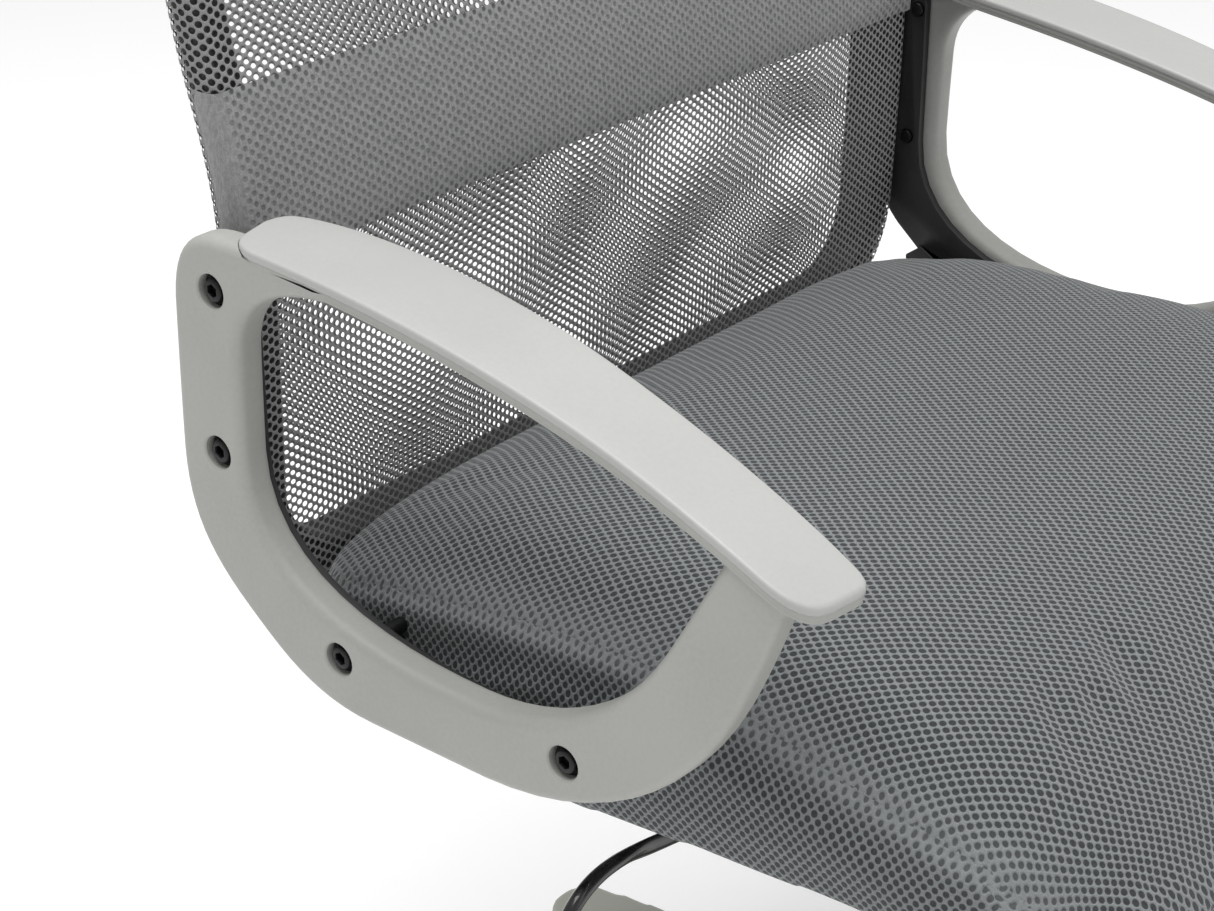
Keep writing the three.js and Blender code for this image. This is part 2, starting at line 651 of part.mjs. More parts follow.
// Outline of the loop moulding in (y, z): rear post, lower rail and front leg.
function armOutline() {
  const shape = new THREE.Shape();
  shape.moveTo(-110, 184);
  shape.lineTo(-2, 183);
  shape.quadraticCurveTo(23, 182, 24, 154);
  shape.lineTo(25, 62);
  shape.quadraticCurveTo(25, 40, 6, 21);
  shape.lineTo(-34, -13);
  shape.quadraticCurveTo(-52, -28, -82, -28);
  shape.lineTo(-155, -28);
  shape.bezierCurveTo(-215, -27, -262, 5, -286, 56);
  shape.quadraticCurveTo(-299, 84, -311, 122);
  shape.lineTo(-286, 134);
  shape.quadraticCurveTo(-270, 104, -250, 69);
  shape.bezierCurveTo(-228, 32, -190, 8, -145, 8);
  shape.bezierCurveTo(-85, 8, -16, 22, -15.5, 80);
  shape.lineTo(-17, 132);
  shape.quadraticCurveTo(-19, 165, -60, 167);
  shape.lineTo(-110, 166);
  shape.closePath();
  return shape;
}

function rightArmShell() {
  const inner = -(ARM_OUTER - ARM_THICK);
  const loop = extrudeX(armOutline(), -ARM_OUTER, inner, 2.5, 4);
  const holes = ARM_BOLTS.map(([y, z]) => rodX(SHANK_RADIUS + GAP, -300, -250, y, z));
  const recesses = ARM_BOLTS.map(([y, z]) => rodX(BOLT_RECESS, -300, -ARM_OUTER + 6, y, z, 16));
  return cut(loop, padClearance(), ...holes, ...recesses);
}

// Black ribbed bracket behind the arm's rear post and lower rail. Its edge stays back from
// the edge of the arm's opening.
function bracketOutline() {
  const shape = new THREE.Shape();
  shape.moveTo(20, 166);
  shape.lineTo(21, 62);
  shape.quadraticCurveTo(21, 42, 3, 24);
  shape.lineTo(-37, -9.5);
  shape.quadraticCurveTo(-53, -24, -82, -24);
  shape.lineTo(-155, -24);
  shape.quadraticCurveTo(-190, -24, -214, -13);
  shape.lineTo(-214, 16);
  shape.quadraticCurveTo(-185, 1.5, -145, 1.5);
  shape.bezierCurveTo(-92, 1.5, -9, 16, -8.5, 78);
  shape.lineTo(-8.5, 166);
  shape.closePath();
  return shape;
}

// The tray is the bracket's deeper part, which reaches in to the seat; `wall` is the distance
// in from its outside.
// The tray lies below the sight of the arm's opening: (y, z) along its top and its underside.
const TRAY_TOP = [[-214, -2], [-185, -9], [-145, -11], [-100, -10], [-62, -5], [-32, 2], [-14, 13]];
const TRAY_UNDER = [[-14, 10], [-37, -9.5], [-50, -19], [-66, -23], [-82, -24], [-155, -24], [-185, -21], [-214, -13]];
const POCKET_TOP = [[-210.5, -6], [-185, -12.5], [-145, -14.5], [-100, -13.5], [-62, -8.5], [-45, -5]];
const POCKET_UNDER = [[-45, -12], [-52, -16], [-68, -19.5], [-82, -20.5], [-155, -20.5], [-185, -17.5], [-210.5, -11]];

function tableShape(...tables) {
  return new THREE.Shape(tables.flat().map(([y, z]) => new THREE.Vector2(y, z)));
}

const BRACKET_FACE = -(ARM_OUTER - ARM_THICK) + GAP;
const BRACKET_PLATE = -BACK_HALF - 4 * GAP;
const BRACKET_RIB = -TAB_OUTER - GAP;
const BOSS_RADIUS = 6;

function rightArmBracket() {
  const plate = extrudeX(bracketOutline(), BRACKET_FACE, BRACKET_PLATE, 0, 12);
  const tray = extrudeX(tableShape(TRAY_TOP, TRAY_UNDER), BRACKET_FACE, BRACKET_RIB, 0, 5);
  const pocket = extrudeX(tableShape(POCKET_TOP, POCKET_UNDER), BRACKET_PLATE - 0.5, BRACKET_RIB + 2, 0, 5);
  const ribs = [-58, -98, -126, -156, -182].map((y) => {
    const rib = block(-290, -240, -1.5, 1.5, -26, 26);
    return rib.rotateX(0.45).translate(0, y, -15);
  });
  const lowerBolts = ARM_BOLTS.slice(2);
  const room = cut(pocket, ...ribs, ...lowerBolts.map(([y, z]) => rodX(BOSS_RADIUS, -290, -240, y, z, 14)));
  const bosses = lowerBolts.map(([y, z]) => rodX(BOSS_RADIUS, BRACKET_FACE, BRACKET_RIB, y, z, 14));
  const holes = ARM_BOLTS.map(([y, z]) => rodX(SHANK_RADIUS + GAP, -300, -240, y, z));
  return cut(join(cut(join(plate, tray), room), ...bosses), ...holes);
}

// Button-head bolt with a wide flange and a hex socket, head outwards.
function armBolt(tip) {
  const flangeUnder = ARM_OUTER - 6 + GAP;
  const body = alongX(lathe([
    [0, tip], [SHANK_RADIUS, tip], [SHANK_RADIUS, flangeUnder],
    [7.6, flangeUnder], [7.6, flangeUnder + 1.2], [5.4, flangeUnder + 1.6],
    [5.4, flangeUnder + 4.2], [0, flangeUnder + 4.2]], 8));
  const hex = alongX(rod(2.9, flangeUnder + 1.4, flangeUnder + 8, 6));
  return cut(body, hex);
}

function addArms(group) {
  const shell = rightArmShell();
  const bracket = rightArmBracket();
  const pad = armPad();
  const bolts = [UPPER_BOLT_TIP, UPPER_BOLT_TIP, LOWER_BOLT_TIP, LOWER_BOLT_TIP].map(armBolt);
  const sides = [
    ['right', (geometry) => geometry.clone(), mirrorX],
    ['left', mirrorX, (geometry) => geometry.clone()],
  ];
  for (const [side, placeArm, placeBolt] of sides) {
    addPart(group, `${side}_arm_shell`, placeArm(shell), lightPlastic);
    addPart(group, `${side}_arm_bracket`, placeArm(bracket), blackPlastic);
    addPart(group, `${side}_arm_pad`, placeArm(pad), padPlastic);
    ARM_BOLTS.forEach(([y, z], i) => {
      const mesh = addPart(group, `${side}_arm_bolt_${i + 1}`, placeBolt(bolts[i]), blackSteel);
      mesh.position.set(0, y, z);
    });
  }
}

// ---------------------------------------------------------------- back (seat frame)
// The back leans: nearly upright beside the arms, then reclined, easing off near the top.
function backCentre(z) {
  const lean = THREE.MathUtils.smoothstep(z, 130, 260);
  const foot = 2 + 2 * Math.cos(Math.PI * THREE.MathUtils.clamp((z + 20) / 180, 0, 1));
  const ease = THREE.MathUtils.clamp(z - 430, 0, 400);
  return 17 + foot + 0.2 * Math.max(z - 160, 0) * lean - 0.0003 * ease * ease;
}

function backHalfWidth(z, inset) {
  const radius = 84 - inset;
  const low = BACK_BOTTOM + inset;
  const high = BACK_TOP - inset;
  const taper = 34 * THREE.MathUtils.smoothstep(z, 300, 760);
  const side = BACK_HALF - inset - taper;
  const below = THREE.MathUtils.clamp(low + radius - z, 0, radius);
  const above = THREE.MathUtils.clamp(z - (high - radius), 0, radius);
  const drop = Math.max(below, above);
  return side - radius + Math.sqrt(radius * radius - drop * drop);
}

function spaced(from, to, steps) {
  return Array.from({ length: steps }, (_, i) => THREE.MathUtils.lerp(from, to, i / steps));
}

// Heights from the bottom to the top edge, close together round the corners. The frame and
// the sheets share the heights between the corners.
function backLevels(inset) {
  const radius = 84 - inset;
  const low = BACK_BOTTOM + inset;
  const high = BACK_TOP - inset;
  const cornerSteps = 4;
  const levels = [];
  for (let i = 0; i <= cornerSteps; i += 1) {
    levels.push(low + radius * (1 - Math.cos((i / cornerSteps) * Math.PI / 2)));
  }
  levels.push(...spaced(low + radius, BAND_BOTTOM, 2).slice(1));
  levels.push(...spaced(BAND_BOTTOM, BAND_TOP, 2));
  levels.push(...spaced(BAND_TOP, high - radius, 7));
  for (let i = 0; i <= cornerSteps; i += 1) {
    levels.push(high - radius + radius * Math.sin((i / cornerSteps) * Math.PI / 2));
  }
  return levels;
}

function bendToBack(geometry, offset) {
  const position = geometry.attributes.position;
  for (let i = 0; i < position.count; i += 1) {
    position.setY(i, position.getY(i) + backCentre(position.getZ(i)) + offset);
  }
  return geometry;
}

// The frame's loop: an eight-sided bar that follows the back's outline and its lean.
// Each corner of the section is [distance in from the outline, Y from the middle surface].
function frameLoop() {
  const edge = 6;
  const deep = BACK_DEPTH / 2;
  const section = [
    [0, deep - edge], [0, edge - deep], [edge, -deep], [BACK_RIM - edge, -deep],
    [BACK_RIM, edge - deep], [BACK_RIM, deep - edge], [BACK_RIM - edge, deep], [edge, deep]];
  const levelCount = backLevels(0).length;
  const ringCount = 2 * levelCount;
  const geometry = new THREE.TorusGeometry(1, 0.5, section.length, ringCount);
  const position = geometry.attributes.position;
  for (let i = 0; i < position.count; i += 1) {
    const ring = (i % (ringCount + 1)) % ringCount;
    const [inset, offset] = section[Math.floor(i / (ringCount + 1)) % section.length];
    const rising = ring < levelCount;
    const z = backLevels(inset)[rising ? ring : ringCount - 1 - ring];
    const x = (rising ? 1 : -1) * backHalfWidth(z, inset);
    position.setXYZ(i, x, backCentre(z) + offset, z);
  }
  return geometry;
}

function backFrame() {
  const lugs = [];
  const holes = [];
  for (const side of [-1, 1]) {
    const strapLow = Math.min(side * (BACK_HALF - 4), side * BACK_HALF);
    lugs.push(block(strapLow, strapLow + 4, -11, 17, 62, 172));
    for (const [y, z] of ARM_BOLTS.slice(0, 2)) {
      const nutLow = Math.min(side * UPPER_BOLT_TIP, side * (BACK_HALF - 3));
      lugs.push(rodX(7, nutLow, nutLow + BACK_HALF - 3 - UPPER_BOLT_TIP, y, z, 6));
      holes.push(rodX(SHANK_RADIUS + GAP, nutLow - 5, nutLow + 25, y, z));
    }
  }
  return cut(join(frameLoop(), ...lugs), ...holes);
}

// A thin stretched sheet across the frame between two heights; `offset` is its middle in Y.
// It stops short of the nuts that the upper arm bolts enter.
function backSheet(offset, thick, levels) {
  const rows = levels.length - 1;
  const geometry = new THREE.BoxGeometry(2, thick, 1, 1, 1, rows);
  const position = geometry.attributes.position;
  for (let i = 0; i < position.count; i += 1) {
    const z = levels[Math.round((position.getZ(i) + 0.5) * rows)];
    position.setX(i, position.getX(i) * Math.min(backHalfWidth(z, SHEET_INSET), UPPER_BOLT_TIP - 2));
    position.setZ(i, z);
  }
  return bendToBack(geometry, offset);
}

function addBack(group) {
  const sheetOffset = BACK_DEPTH / 2 + SHEET_GAP + SHEET_THICK / 2;
  const bandOffset = sheetOffset + SHEET_THICK + GAP;
  const bandLevels = [...spaced(BAND_BOTTOM, BAND_TOP, 2), BAND_TOP];
  addPart(group, 'back_frame', backFrame(), blackPlastic);
  const sheetLevels = backLevels(SHEET_INSET);
  addPart(group, 'back_mesh_front', backSheet(-sheetOffset, SHEET_THICK, sheetLevels), backFabric);
  addPart(group, 'back_mesh_rear', backSheet(sheetOffset, SHEET_THICK, sheetLevels), backFabric);
  addPart(group, 'lumbar_band', backSheet(-bandOffset, SHEET_THICK, bandLevels), backFabric);
}

// ---------------------------------------------------------------- assembly
const chair = new THREE.Group();
const columnGroup = new THREE.Group();
columnGroup.position.set(0, SEAT_Y + COLUMN_Y, 0);
addPart(columnGroup, 'star_base', starBase(), baseNylon);
addCasters(columnGroup);
addColumn(columnGroup);
chair.add(columnGroup);

const seatGroup = new THREE.Group();
seatGroup.position.set(0, SEAT_Y, SEAT_Z);
addMechanism(seatGroup);
addPart(seatGroup, 'seat_pan', seatPan(), blackPlastic);
addPart(seatGroup, 'seat_cushion', seatCushion(), seatFabric);
addArms(seatGroup);
addBack(seatGroup);
chair.add(seatGroup);

export default chair;
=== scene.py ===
# Looks of the gaming chair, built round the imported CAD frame. Metres, +Z up; the sitter faces -Y.
# Lengths in the tables below are millimetres in the seat frame, whose height zero is the axis of
# the lower arm bolts and whose Y zero is the axis of the second arm bolt.
import math

import bmesh
import bpy
import numpy as np
from mathutils import Matrix, Vector, noise


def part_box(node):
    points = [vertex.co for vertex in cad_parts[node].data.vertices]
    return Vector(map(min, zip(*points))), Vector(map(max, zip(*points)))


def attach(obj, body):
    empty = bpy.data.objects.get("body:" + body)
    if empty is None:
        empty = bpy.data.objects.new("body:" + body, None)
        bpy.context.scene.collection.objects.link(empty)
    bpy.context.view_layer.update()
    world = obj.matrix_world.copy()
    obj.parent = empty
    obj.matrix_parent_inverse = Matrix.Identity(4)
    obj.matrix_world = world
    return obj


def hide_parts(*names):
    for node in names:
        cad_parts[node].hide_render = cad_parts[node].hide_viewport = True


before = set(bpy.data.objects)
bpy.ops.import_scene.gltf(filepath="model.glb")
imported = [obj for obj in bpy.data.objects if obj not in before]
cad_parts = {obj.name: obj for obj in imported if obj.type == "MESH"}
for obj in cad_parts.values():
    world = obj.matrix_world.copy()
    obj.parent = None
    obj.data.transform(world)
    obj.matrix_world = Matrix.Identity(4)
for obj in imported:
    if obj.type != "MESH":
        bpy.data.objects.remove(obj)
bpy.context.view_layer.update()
scene = bpy.context.scene
MM = 0.001


# ---------------------------------------------------------------- places taken from the frame
def middle(node):
    low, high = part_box(node)
    return (low + high) / 2


SEAT_Y = middle("right_arm_bolt_2").y / MM
SEAT_Z = middle("right_arm_bolt_3").z / MM
COLUMN_Y = middle("column_tube").y / MM - SEAT_Y      # column axis, in the seat frame
FACE = -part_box("right_arm_shell")[0].x / MM           # outer face of the arms
SHELL_THICK = (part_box("right_arm_shell")[1].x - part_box("right_arm_shell")[0].x) / MM


def seat_point(x, y, z):
    return Vector((x * MM, (SEAT_Y + y) * MM, (SEAT_Z + z) * MM))


def millimetres_at(x, y, z):
    """A frame in millimetres whose origin is (x, y, z) in metres."""
    return Matrix.Translation((x, y, z)) @ Matrix.Diagonal((MM, MM, MM, 1))


SEAT_FRAME = millimetres_at(*seat_point(0, 0, 0))
COLUMN_FRAME = millimetres_at(0, (SEAT_Y + COLUMN_Y) * MM, 0)
# In this plane a drawing's (u, v) is the seat frame's (y, z), and its thickness runs along X.
SIDE_PLANE = Matrix(((0, 0, 1, 0), (1, 0, 0, 0), (0, 1, 0, 0), (0, 0, 0, 1)))
MIRROR = Matrix.Diagonal((-1, 1, 1, 1))


# ---------------------------------------------------------------- small helpers
def clamp(value, low, high):
    return min(max(value, low), high)


def smoothstep(value, low, high):
    t = clamp((value - low) / (high - low), 0, 1)
    return t * t * (3 - 2 * t)


def along(table, value):
    """Linear interpolation in a list of (position, result) with rising positions."""
    xs, ys = zip(*table)
    return float(np.interp(value, xs, ys))


def path(start, *steps, samples=12):
    """Points along lines and Bezier curves; a step holds its control points and its end."""
    points = [Vector(start)]
    for step in steps:
        controls = [points[-1], *[Vector(p) for p in step]]
        count = 1 if len(controls) == 2 else samples
        for i in range(1, count + 1):
            row, t = controls, i / count
            while len(row) > 1:
                row = [a.lerp(b, t) for a, b in zip(row, row[1:])]
            points.append(row[0])
    return points


def fillet(points, radius, steps=4, closed=False):
    """The polyline with its corners rounded."""
    points = [Vector(p) for p in points]
    count = len(points)
    result = []
    for i, p in enumerate(points):
        if not closed and i in (0, count - 1):
            result.append(p)
            continue
        before, after = points[i - 1] - p, points[(i + 1) % count] - p
        if before.length < 1e-6 or after.length < 1e-6 or before.angle(after) > math.pi - 0.05:
            result.append(p)
            continue
        reach = min(radius, 0.45 * before.length, 0.45 * after.length)
        a, b = p + before.normalized() * reach, p + after.normalized() * reach
        for k in range(steps + 1):
            t = k / steps
            result.append(a.lerp(p, t).lerp(p.lerp(b, t), t))
    return result


def resample(points, count):
    """The same line as count points at equal steps."""
    points = np.array([list(p) for p in points])
    steps = np.linalg.norm(np.diff(points, axis=0), axis=1)
    length = np.concatenate([[0], np.cumsum(steps)])
    at = np.linspace(0, length[-1], count)
    return [Vector([np.interp(a, length, points[:, k]) for k in range(points.shape[1])]) for a in at]


def smooth_line(points, count):
    """A Catmull-Rom curve through the points, as count points."""
    rows = [Vector(p) for p in points]
    rows = [2 * rows[0] - rows[1], *rows, 2 * rows[-1] - rows[-2]]
    result = []
    for i in range(1, len(rows) - 2):
        a, b, c, d = rows[i - 1:i + 3]
        for k in range(12):
            t = k / 12
            result.append(0.5 * (2 * b + (c - a) * t + (2 * a - 5 * b + 4 * c - d) * t * t
                                 + (3 * b - a - 3 * c + d) * t ** 3))
    result.append(rows[-2])
    return resample(result, count)


# ---------------------------------------------------------------- meshes
def placed(name, data):
    obj = bpy.data.objects.new(name, data)
    scene.collection.objects.link(obj)
    return obj


def transformed(mesh, matrix):
    mesh.transform(matrix)
    if matrix.determinant() < 0:
        mesh.flip_normals()
    return mesh


def twin(obj, name, matrix):
    """A copy of the piece, moved or mirrored."""
    return placed(name, transformed(obj.data.copy(), matrix))


def written(bm, name):
    """A new object that holds the bmesh, which is freed."""
    mesh = bpy.data.meshes.new(name)
    bm.to_mesh(mesh)
    bm.free()
    return placed(name, mesh)


def mesh_object(name, verts, faces, matrix=Matrix()):
    mesh = bpy.data.meshes.new(name)
    mesh.from_pydata([tuple(v) for v in verts], [], faces)
    return placed(name, transformed(mesh, matrix))


def clean(obj, merge=0.01 * MM):
    """Joins doubled vertices, unless merge is 0, and turns the faces outwards."""
    bm = bmesh.new()
    bm.from_mesh(obj.data)
    if merge:
        bmesh.ops.remove_doubles(bm, verts=bm.verts, dist=merge)
    bmesh.ops.recalc_face_normals(bm, faces=bm.faces)
    bm.to_mesh(obj.data)
    bm.free()
    return obj


def shade(obj, angle=35):
    obj.data.shade_smooth()
    obj.data.set_sharp_from_angle(angle=math.radians(angle))
    return obj


def drop(obj):
    data = obj.data
    bpy.data.objects.remove(obj)
    if isinstance(data, bpy.types.Mesh) and data.users == 0:
        bpy.data.meshes.remove(data)


def merge(name, *objects):
    """One object from several, which are removed."""
    bm = bmesh.new()
    for obj in objects:
        bm.from_mesh(obj.data)
    for obj in objects:
        drop(obj)
    return written(bm, name)


def evaluated(obj):
    graph = bpy.context.evaluated_depsgraph_get()
    return bpy.data.meshes.new_from_object(obj.evaluated_get(graph))


def bake_modifiers(obj):
    mesh = evaluated(obj)
    obj.modifiers.clear()
    old, obj.data = obj.data, mesh
    if old.users == 0:
        bpy.data.meshes.remove(old)
    return obj


def boolean(obj, operation, *tools):
    for tool in tools:
        modifier = obj.modifiers.new("boolean", "BOOLEAN")
        modifier.operation = operation
        modifier.solver = "EXACT"
        modifier.object = tool
        bake_modifiers(obj)
        drop(tool)
    return obj


def ring_faces(rings, size, closed=True, around=False):
    """Quads between rings of vertices; around joins the last ring to the first."""
    faces = []
    for j in range(rings if around else rings - 1):
        a, b = j * size, (j + 1) % rings * size
        for i in range(size if closed else size - 1):
            k = (i + 1) % size
            faces.append((a + i, a + k, b + k, b + i))
    return faces


def capped_faces(rings, size):
    """Closed rings with a face over each end."""
    last = (rings - 1) * size
    return [*ring_faces(rings, size), tuple(range(size)), tuple(last + i for i in reversed(range(size)))]


def revolve(name, profile, matrix, segments=48):
    """A solid turned about the matrix's Z axis from (radius, height) pairs in mm."""
    verts = []
    for radius, height in profile:
        for i in range(segments):
            angle = 2 * math.pi * i / segments
            verts.append((radius * math.cos(angle), radius * math.sin(angle), height))
    obj = mesh_object(name, verts, ring_faces(len(profile), segments), matrix)
    return shade(clean(obj))


def along_x(matrix, y=0, z=0):
    """The matrix with its Z axis laid along X at (y, z)."""
    return matrix @ Matrix.Translation((0, y, z)) @ Matrix.Rotation(math.pi / 2, 4, "Y")


def outline_solid(name, loop, low, high, bevel, plane, resolution=3):
    """A closed outline in mm, extruded from low to high with rounded edges."""
    curve = bpy.data.curves.new(name, "CURVE")
    curve.dimensions = "2D"
    curve.fill_mode = "BOTH"
    spline = curve.splines.new("POLY")
    spline.points.add(len(loop) - 1)
    for point, p in zip(spline.points, loop):
        point.co = (p[0], p[1], 0, 1)
    spline.use_cyclic_u = True
    curve.extrude = (high - low) / 2 - bevel
    curve.bevel_depth = bevel
    curve.bevel_resolution = resolution
    curve.offset = -bevel
    drawn = placed(name, curve)
    mesh = evaluated(drawn)
    bpy.data.objects.remove(drawn)
    bpy.data.curves.remove(curve)
    mesh.transform(plane @ Matrix.Translation((0, 0, (low + high) / 2)))
    return shade(clean(placed(name, mesh)))


def sweep(name, points, section, matrix):
    """A closed tube along points; section(t) gives its ring as (side, up) pairs."""
    points = [Vector(p) for p in points]
    count = len(points)
    up = Vector((0, 1, 0))
    verts, size = [], 0
    for i, p in enumerate(points):
        ahead = (points[min(i + 1, count - 1)] - points[max(i - 1, 0)]).normalized()
        side = up.cross(ahead).normalized()
        up = ahead.cross(side).normalized()
        ring = section(i / (count - 1))
        size = len(ring)
        verts += [p + side * a + up * b for a, b in ring]
    return shade(clean(mesh_object(name, verts, capped_faces(count, size), matrix)), 50)


def box_solid(name, low, high, bevel, matrix):
    low, high = Vector(low), Vector(high)
    bm = bmesh.new()
    bmesh.ops.create_cube(bm, size=1, matrix=Matrix.LocRotScale((low + high) / 2, None, high - low))
    bmesh.ops.bevel(bm, geom=bm.edges[:], offset=bevel, segments=3, profile=0.5, affect="EDGES")
    bm.transform(matrix)
    return shade(written(bm, name))


def refined(node, bevel=0.8, angle=28):
    """A CAD node's shape with its edges rounded, as a new piece."""
    bm = bmesh.new()
    bm.from_mesh(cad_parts[node].data)
    bmesh.ops.remove_doubles(bm, verts=bm.verts, dist=0.01 * MM)
    bmesh.ops.dissolve_limit(bm, angle_limit=math.radians(2), verts=bm.verts, edges=bm.edges)
    bmesh.ops.recalc_face_normals(bm, faces=bm.faces)
    edges = [e for e in bm.edges if len(e.link_faces) == 2
             and e.calc_face_angle(0) > math.radians(angle) and e.calc_length() > 1.2 * MM]
    bmesh.ops.bevel(bm, geom=edges, offset=bevel * MM, segments=2, profile=0.5, affect="EDGES",
                    clamp_overlap=False)
    return shade(written(bm, node + "_part"), 30)


def remeshed(obj, voxel, rounds):
    """The solid as even quads of the voxel's size in mm, relaxed."""
    remesh = obj.modifiers.new("remesh", "REMESH")
    remesh.mode = "VOXEL"
    remesh.voxel_size = voxel * MM
    relax = obj.modifiers.new("relax", "SMOOTH")
    relax.factor = 0.5
    relax.iterations = rounds
    return bake_modifiers(obj)


# ---------------------------------------------------------------- materials
class Look:
    """Builds one procedural material from short calls."""

    def __init__(self, name, roughness=0.5, metallic=0.0, **sockets):
        self.material = bpy.data.materials.new(name)
        self.material.use_nodes = True
        self.tree = self.material.node_tree
        self.shader = self.tree.nodes["Principled BSDF"]
        self.set(Roughness=roughness, Metallic=metallic, **sockets)

    def node(self, kind, inputs=None, **settings):
        node = self.tree.nodes.new("ShaderNode" + kind)
        for key, value in settings.items():
            setattr(node, key, value)
        for key, value in (inputs or {}).items():
            self.feed(node.inputs[key], value)
        return node

    def feed(self, socket, value):
        if isinstance(value, bpy.types.NodeSocket):
            self.tree.links.new(value, socket)
        else:
            socket.default_value = value

    def math(self, operation, a, b=0.0, c=0.0):
        return self.node("Math", {0: a, 1: b, 2: c}, operation=operation).outputs[0]

    def vector(self, operation, a, b=(0, 0, 0), c=(0, 0, 0)):
        node = self.node("VectorMath", {0: a, 1: b, 2: c}, operation=operation)
        return node.outputs["Value" if operation in ("LENGTH", "DOT_PRODUCT") else "Vector"]

    def where(self):
        return self.node("TexCoord").outputs["Object"]

    def weave(self):
        return self.node("UVMap", uv_map="weave").outputs["UV"]

    def noise(self, scale, detail=3.0, rough=0.6, stretch=None):
        at = self.where()
        if stretch:
            at = self.vector("MULTIPLY", at, stretch)
        node = self.node("TexNoise", {"Vector": at, "Scale": scale, "Detail": detail, "Roughness": rough})
        return node.outputs["Fac"]

    def span(self, value, low, high, to_low=0.0, to_high=1.0):
        node = self.node("MapRange", {"Value": value, "From Min": low, "From Max": high,
                                      "To Min": to_low, "To Max": to_high})
        node.interpolation_type = "SMOOTHSTEP"
        return node.outputs["Result"]

    def mix(self, factor, a, b):
        node = self.node("Mix", data_type="RGBA")
        for key, value in ((0, factor), (6, a), (7, b)):
            if isinstance(value, tuple) and len(value) == 3:
                value = (*value, 1)
            self.feed(node.inputs[key], value)
        return node.outputs[2]

    def blend(self, value, a, b, low=0.3, high=0.7):
        """Colour a where the value is low, b where it is high."""
        return self.mix(self.span(value, low, high), a, b)

    def set(self, **sockets):
        for key, value in sockets.items():
            self.feed(self.shader.inputs[key.replace("_", " ")], value)

    def bump(self, height, distance, strength=1.0):
        node = self.node("Bump", {"Height": height, "Distance": distance, "Strength": strength})
        self.set(Normal=node.outputs["Normal"])

    def centred_noise(self, at, scale, detail=1.0):
        drift = self.node("TexNoise", {"Vector": at, "Scale": scale, "Detail": detail}).outputs["Color"]
        return self.vector("SUBTRACT", drift, (0.5, 0.5, 0.5))

    def jittered(self, at, scale, amount, onto=None):
        """The place, or onto, shifted by up to half the amount by a noise taken at the place."""
        return self.vector("MULTIPLY_ADD", self.centred_noise(at, scale), (amount, amount, 0), onto or at)

    def mask(self, name):
        return self.node("Attribute", attribute_name=name).outputs["Fac"]

    def hole_distance(self, pitch, at, stretch=(1.0, 1.0)):
        """Distance in metres to the nearest point of a staggered lattice."""
        cell = self.vector("DIVIDE", at, (*pitch, 1))
        scale = (pitch[0] * stretch[0], pitch[1] * stretch[1], 0)
        found = []
        for shift in ((0, 0, 0), (0.5, 0.5, 0)):
            moved = self.vector("ADD", cell, shift)
            wrapped = self.vector("WRAP", moved, (0.5, 0.5, 0.5), (-0.5, -0.5, -0.5))
            found.append(self.vector("LENGTH", self.vector("MULTIPLY", wrapped, scale)))
        return self.math("MINIMUM", found[0], found[1])


def plastic(name, color, roughness=0.5, grain=0.000012, spread=0.05, **sockets):
    """Moulded plastic: a fine sparked grain, slow tone changes and uneven gloss."""
    look = Look(name, roughness, **sockets)
    dark = tuple(c * (1 - spread) for c in color)
    light = tuple(c * (1 + spread) for c in color)
    slow = look.math("MULTIPLY", look.noise(7, 2), 0.65)
    tone = look.math("MULTIPLY_ADD", look.noise(420, 2), 0.35, slow)
    look.set(Base_Color=look.blend(tone, dark, light, 0.35, 0.65),
             Roughness=look.span(look.noise(30, 4), 0.3, 0.7, roughness - 0.05, roughness + 0.06))
    look.bump(look.noise(1700, 2, 0.5), grain)
    return look.material


def metal(name, color, roughness, metallic=1.0, grain=0.00001, streak=(1, 1, 1), **sockets):
    """Metal or paint over metal, with fine scratches along one direction."""
    look = Look(name, roughness, metallic, **sockets)
    dark = tuple(c * 0.8 for c in color)
    gloss = look.noise(240, 3, stretch=streak)
    look.set(Base_Color=look.blend(look.noise(60, 4, stretch=streak), dark, color, 0.35, 0.65),
             Roughness=look.span(gloss, 0.3, 0.7, roughness * 0.8, roughness * 1.25))
    look.bump(look.noise(900, 3, stretch=streak), grain)
    return look.material


ARM_COLOR = (0.368, 0.371, 0.348)
PAD_COLOR = (0.435, 0.435, 0.423)
arm_look = plastic("arm_plastic", ARM_COLOR, 0.48)
pad_look = plastic("pad_plastic", PAD_COLOR, 0.46, spread=0.03)
base_look = plastic("base_nylon", (0.352, 0.357, 0.312), 0.42, spread=0.04)
hood_look = plastic("caster_nylon", (0.33, 0.335, 0.31), 0.45)
tread_look = plastic("wheel_rubber", (0.22, 0.225, 0.22), 0.68, grain=0.00002)
black_look = plastic("black_plastic", (0.020, 0.020, 0.021), 0.52, grain=0.00003, spread=0.2)
steel_look = metal("black_steel", (0.022, 0.022, 0.022), 0.42, 0.3, grain=0.00002)
lever_look = metal("lever_steel", (0.016, 0.016, 0.015), 0.22, 0.2, grain=0.000004, Coat_Weight=0.6)
bolt_look = metal("bolt_steel", (0.016, 0.016, 0.017), 0.34, 0.6)
zinc_look = metal("zinc_steel", (0.62, 0.63, 0.64), 0.32, 1.0, streak=(1, 1, 6))
chrome_look = metal("chrome", (0.78, 0.79, 0.8), 0.1, 1.0, grain=0.000003, streak=(1, 1, 8))


